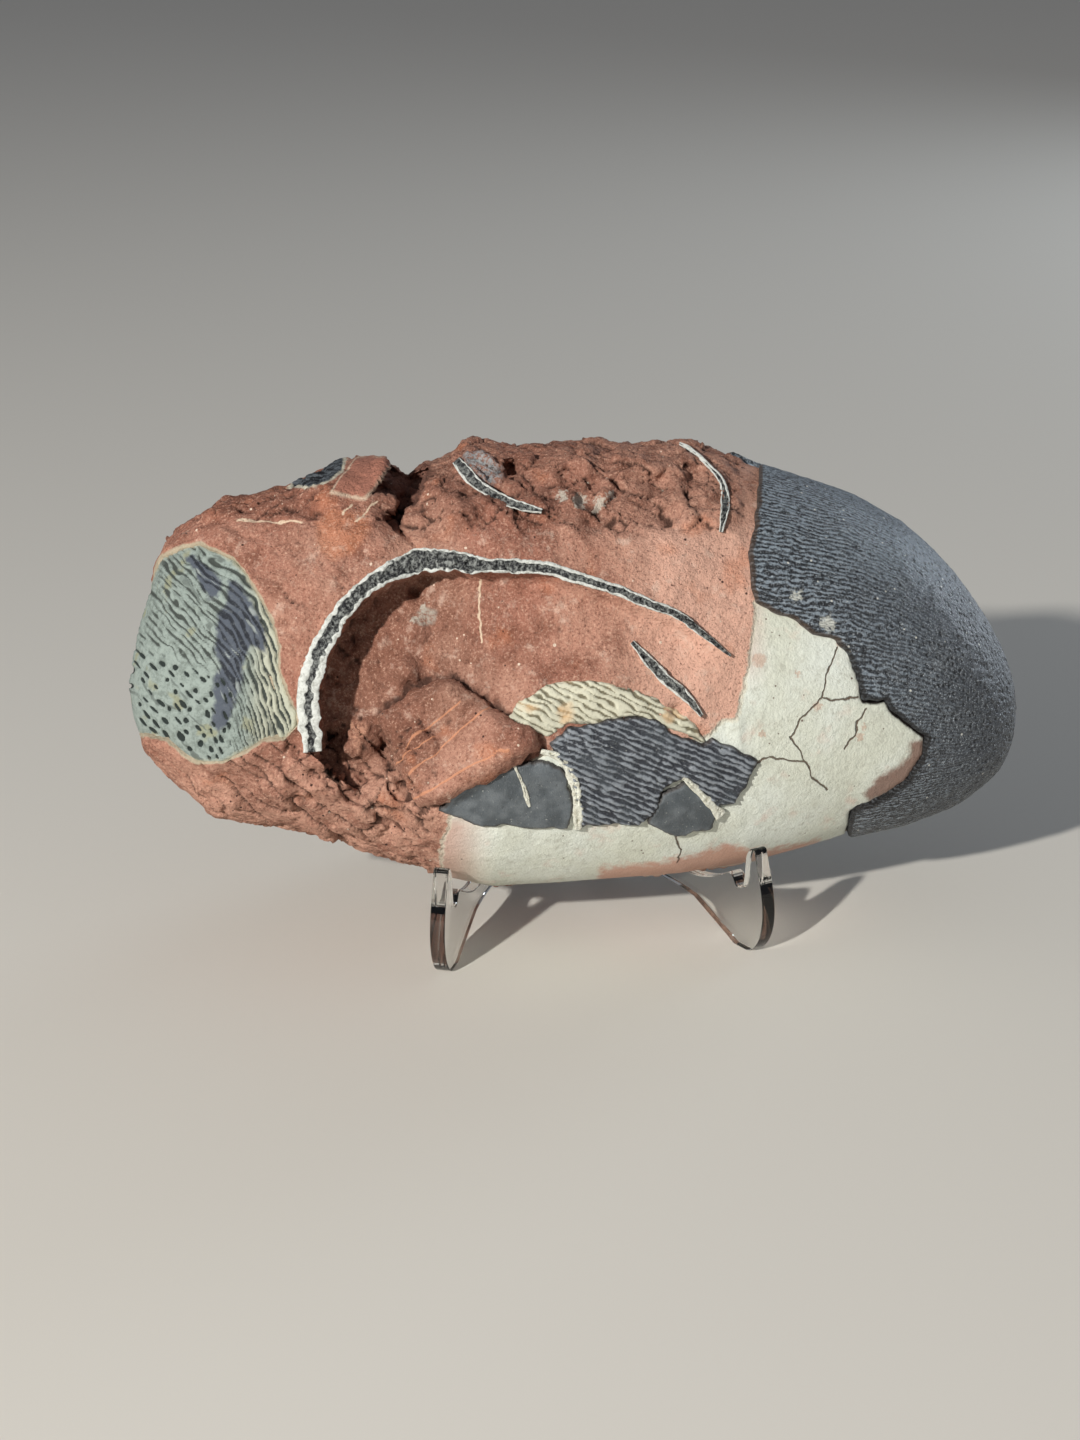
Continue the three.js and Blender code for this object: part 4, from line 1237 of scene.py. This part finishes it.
def end_detail(points, rounds, u, v, facing):
    length, across = slanted(u + 70, v - 2, 47 + 24 * smooth(-74, -60, u))
    dashed = smooth(3.5, -2.5, v + 0.35 * (u + 78)) * smooth(-66, -69, u)
    dashes = dash_field(length, across + 0.4 * drawn_out_noise(length, across, 3, 1.1, 7, 2)) * dashed
    across = across + 0.5 * drawn_out_noise(length, across, 1.8, 1.5, 3, 3)
    coarse = smooth(-68, -61, u)
    waves = np.cos(2 * math.pi * across / END_RIDGES)
    breaks = drawn_out_noise(length, across, 1.7, 0.9, 6, 2)
    ridges = smooth(-1.0, 0.1 + 0.3 * coarse, waves + 0.8 * breaks)
    crest = 1 - (1 - ridges) * (1 - dashed)
    dark = np.maximum.reduce([depth_inside(outline, u, v) for outline in END_DARK])
    calm = smooth(-0.2, 1.2, dark)
    height = (0.3 + 0.55 * coarse) * (crest - 1) * (1 - 0.6 * calm) - 0.5 * dashes
    scratches = drawn_out_noise(length, across, 6, 0.55, 9, 2)
    return height, {"crest": crest, "dashes": dashes, "dark": dark, "scratch": scratches}


def edge_wobble(u, v, seed):
    """Small random bays of a broken edge."""
    return value_noise(u / 1.9, v / 1.9, seed) + 0.5 * value_noise(u / 0.8, v / 0.8, seed + 5)


def cap_edge(u, v, facing):
    wobble = edge_wobble(u, v, 3.0)
    front = depth_inside(CAP_EDGE, u, v) + 0.3 * wobble
    back = depth_inside(CAP_EDGE_BACK, u, v) + 0.5 * wobble
    return np.where(facing > 0, front, back)


def end_edge(u, v, facing):
    front = depth_inside(EGG_END, u, v)
    back = END_EDGE_BACK - u + 0.8 * value_noise(v / 2, u / 2, 4.0)
    return np.where(facing > 0, front, np.minimum(front, back))


def face_patch(name, material, outline, detail, seed, proud=SHELL_PROUD):
    """A piece of shell on the face, whose grid only reaches as far as its outline."""
    def edge(u, v, facing):
        return np.where(facing > 0, depth_inside(outline, u, v) + 0.35 * edge_wobble(u, v, seed), -1)

    us, vs = zip(*outline)
    along = steps_between(min(us) - 0.6, max(us) + 0.6, PLATE_SPACING)
    rise = np.array([min(vs) - 1, max(vs) + 1]) / EGG_HALF_HEIGHT
    limits = np.arcsin(np.clip(np.sign(rise) * np.abs(rise) ** (SECTION_POWER / 2), -1, 1))
    low = max(-PATCH_REACH, limits[0] - PATCH_MARGIN)
    high = min(PATCH_REACH, limits[1] + PATCH_MARGIN)
    rounds = np.linspace(low, high, int((high - low) * EGG_RADIUS / PLATE_SPACING))
    return shell_patch(name, material, along, rounds, edge, detail, proud, SHELL_THICKNESS)


def shell_pieces():
    coarse_rows, fine_rows = (steps_between(*rows) for rows in CAP_ROWS)
    cap_along = np.concatenate([coarse_rows[:-1], fine_rows, [math.pi - TIP_ANGLE / 10]])
    end_along = np.insert(steps_between(*END_ROWS), 0, TIP_ANGLE)
    end_rounds = np.linspace(-END_REACH, END_REACH, END_STEPS)
    ridged = plate_material("shell_ridged", (46, 49, 56), (138, 144, 151), 0.5)
    plain = plate_material("shell_smooth", (72, 78, 82), (106, 112, 116), 0.4)
    return [
        shell_patch("shell_cap", cap_material(), cap_along, all_round(*CAP_STEPS, closed=True), cap_edge,
                    cap_detail, SHELL_PROUD, CAP_THICKNESS, closed=False),
        face_patch("shell_plate_ridged", ridged, RIDGED_PLATE, ridged_detail, 2.0),
        face_patch("shell_plate_left", plain, SMOOTH_PLATE_LEFT, plain_detail, 5.0),
        face_patch("shell_plate_right", plain, SMOOTH_PLATE_RIGHT, plain_detail, 7.0),
        face_patch("shell_imprint", imprint_material(), IMPRINT, imprint_detail, 9.0, IMPRINT_PROUD),
        shell_patch("egg_end", end_material(), end_along, end_rounds, end_edge, end_detail,
                    -EGG_END_SUNK + IMPRINT_PROUD, SHELL_THICKNESS, relief=False, closed=False),
    ]


def top_arc_front(u, v):
    return broken_front(u, v) - TOP_ARC_LIFT


def shell_edges():
    material = edge_shell_material()
    calcite = calcite_material()
    pieces = [
        shell_strip("shell_arc_main", material, MAIN_ARC, MAIN_ARC_WIDTHS, round_front, MAIN_ARC_CORES, 2),
        shell_strip("shell_arc_small", material, SMALL_ARC, [1, 2.1, 2.2, 2, 0.8], broken_front,
                    [0.6, 0.7], 5),
        shell_strip("shell_arc_top", material, TOP_ARC, [2, 2.3, 2.2, 1.9, 1.2], top_arc_front,
                    [0.75, 0.6], 8),
        shell_strip("shell_sliver", material, SLIVER, [0.5, 1, 0.9, 1.5, 1.8, 0.8], broken_front,
                    [0, 0.1, 0.2, 0.5, 0.7, 0.4], 11, proud=0.9),
    ]
    for number, (line, widths) in enumerate(VEINS):
        pieces.append(shell_strip(f"calcite_vein_{number + 1}", calcite, line, widths, round_front, [0.1],
                                  20 + number, proud=1.9, root=1, across=11, ragged_by=0.45))
    return pieces


# Stand
def bezier(points, steps=14):
    p0, p1, p2, p3 = (np.array(p, float) for p in points)
    t = np.linspace(0, 1, steps + 1)[1:, None]
    curve = (1 - t) ** 3 * p0 + 3 * (1 - t) ** 2 * t * p1 + 3 * (1 - t) * t ** 2 * p2 + t ** 3 * p3
    return [tuple(p) for p in curve]


def leaf_outline():
    rest_r, rest_z = BACK_REST_FOOT
    tip_r, tip_z = BACK_REST_TIP
    outline = [(5.4, 0)]
    curves = [
        [(2.2, 0.6), (0, 4.4), (0, 9)],
        [(0, 13), (1.6, 17), (3, LIP_TOP)],
        [(3.8, LIP_TOP + 1), (5.6, LIP_TOP), (6, LIP_TOP - 2.4)],
        [(6.4, 14), (6.6, GROOVE_BOTTOM), (8.2, GROOVE_BOTTOM)],
        [(9.4, GROOVE_BOTTOM), (9.4, 14.8), (11.4, 14.8)],
        [(15, 13), (19, ARM_TOP), (26, ARM_TOP)],
        [(35, ARM_TOP)],
        [(46, ARM_TOP + 1), (54, 15), BACK_REST_FOOT],
        [(rest_r + 6, rest_z + 10), (tip_r - 1.7, tip_z - 14), BACK_REST_TIP],
        [(tip_r + 0.4, tip_z + 2.4), (tip_r + 15, tip_z + 3), (tip_r + 16, tip_z - 3)],
        [(LEAF_LENGTH, 4)],
        [(LEAF_LENGTH + 0.4, 1.4), (LEAF_LENGTH - 1, 0), (LEAF_LENGTH - 3, 0)],
        [(LEAF_LENGTH - 12, 0)],
        [(81, 0.6), (62, 4), (46, ARM_BOTTOM)],
        [(36, ARM_BOTTOM + 1), (29, ARM_BOTTOM + 1), (23, ARM_BOTTOM)],
        [(11.4, 0.9)],
        [(10.6, 0.4), (9.8, 0), (9, 0)],
    ]
    for points in curves:
        outline += [points[0]] if len(points) == 1 else bezier([outline[-1], *points])
    return outline


def cut_slot(outline, low_r, high_r, level, from_above):
    """Puts the square slot of the crossing into an outline."""
    def inside(point):
        return low_r < point[0] < high_r and (point[1] > level) == from_above

    result = []
    for before, here in zip(outline[-1:] + outline[:-1], outline):
        if inside(before) != inside(here):
            edge_r = low_r if min(before[0], here[0]) < low_r < max(before[0], here[0]) else high_r
            share = (edge_r - before[0]) / (here[0] - before[0])
            corner = (edge_r, before[1] + share * (here[1] - before[1]))
            result += [corner, (edge_r, level)] if inside(here) else [(edge_r, level), corner]
        if not inside(here):
            result.append(here)
    return result


def stand_leaf(name, side, material):
    crossing_angle = 2 * LEAF_ANGLE
    width = (LEAF_THICKNESS * (1 + math.cos(crossing_angle)) + 2 * LEAF_GAP) / math.sin(crossing_angle)
    middle = (BACK_REST_TIP[1] + 4) / 2
    level = middle - LEAF_GAP / 2 if side < 0 else middle + LEAF_GAP / 2
    outline = cut_slot(leaf_outline(), CROSSING - width / 2, CROSSING + width / 2, level, side < 0)
    direction = np.array([-side * math.sin(LEAF_ANGLE), math.cos(LEAF_ANGLE), 0])
    across = np.array([math.cos(LEAF_ANGLE), side * math.sin(LEAF_ANGLE), 0])
    start = np.array([STAND_X + side * FOOT_SPREAD / 2, STAND_FRONT_Y, 0])
    flat = np.array([start + r * direction + np.array([0, 0, z]) for r, z in outline])
    count = len(outline)
    points = np.concatenate([flat - across * LEAF_THICKNESS / 2, flat + across * LEAF_THICKNESS / 2])
    faces = [list(range(count)), list(range(2 * count - 1, count - 1, -1))]
    faces += [[i, (i + 1) % count, (i + 1) % count + count, i + count] for i in range(count)]
    piece = new_piece(name, points, faces, material)
    recalculated_normals(piece)
    piece.data.shade_flat()
    bevel = piece.modifiers.new("edge", "BEVEL")
    bevel.width = LEAF_BEVEL * MM
    bevel.segments = 2
    bevel.limit_method = "ANGLE"
    bevel.angle_limit = math.radians(50)
    apply_modifiers(piece)
    return piece


def apply_modifiers(piece):
    graph = bpy.context.evaluated_depsgraph_get()
    mesh = bpy.data.meshes.new_from_object(piece.evaluated_get(graph))
    old = piece.data
    piece.modifiers.clear()
    piece.data = mesh
    bpy.data.meshes.remove(old)


# Room
def add_area(name, location, size, power, color):
    """A round lamp that points at the egg."""
    light = bpy.data.lights.new(name, "AREA")
    light.shape = "DISK"
    light.size = size
    light.energy = power
    light.color = color
    lamp = bpy.data.objects.new(name, light)
    lamp.location = location
    lamp.rotation_euler = (Vector(EGG_MIDDLE * MM) - Vector(location)).to_track_quat("-Z", "Y").to_euler()
    bpy.context.scene.collection.objects.link(lamp)


def room():
    mesh = bpy.data.meshes.new("floor")
    corners = [(x * FLOOR_REACH, y * FLOOR_REACH, 0) for x, y in ((-1, -1), (1, -1), (1, 1), (-1, 1))]
    mesh.from_pydata(corners, [], [(0, 1, 2, 3)])
    floor = bpy.data.objects.new("floor", mesh)
    bpy.context.scene.collection.objects.link(floor)
    mesh.materials.append(Shade("pale_floor").finish(FLOOR_COLOR, 0.8, specular=0.2))
    for name, settings in LIGHTS.items():
        add_area(name, *settings)
    world = bpy.data.worlds.new("room")
    world.use_nodes = True
    world.node_tree.nodes["Background"].inputs[0].default_value = WORLD_COLOR
    world.node_tree.nodes["Background"].inputs[1].default_value = WORLD_POWER
    bpy.context.scene.world = world
    bpy.context.scene.view_settings.view_transform = "Standard"


def camera():
    data = bpy.data.cameras.new("camera")
    data.sensor_width = 36
    data.lens = data.sensor_width * EYE_DISTANCE / (PHOTO_HEIGHT * PIXEL_SIZE)
    data.shift_x = (PHOTO_WIDTH / 2 - EGG_PIXEL[0]) / PHOTO_HEIGHT
    data.shift_y = (EGG_PIXEL[1] - PHOTO_HEIGHT / 2) / PHOTO_HEIGHT
    data.clip_start = 0.01
    seen_from = bpy.data.objects.new("camera", data)
    turn = Matrix([RIGHT, UP, -AWAY]).transposed().to_4x4()
    seen_from.matrix_world = Matrix.Translation((EGG_MIDDLE - EYE_DISTANCE * AWAY) * MM) @ turn
    bpy.context.scene.collection.objects.link(seen_from)
    bpy.context.scene.camera = seen_from


camera()
room()
stone = stone_body(stone_material())
fossil_pieces = [stone, *shell_pieces(), *shell_edges()]
for piece in fossil_pieces:
    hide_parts("fossil_egg")
acrylic = clear_material()
for leaf_name, leaf_side in (("left", -1), ("right", 1)):
    leaf = stand_leaf(f"clear_leaf_{leaf_name}", leaf_side, acrylic)
    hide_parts(f"stand_leaf_{leaf_name}")
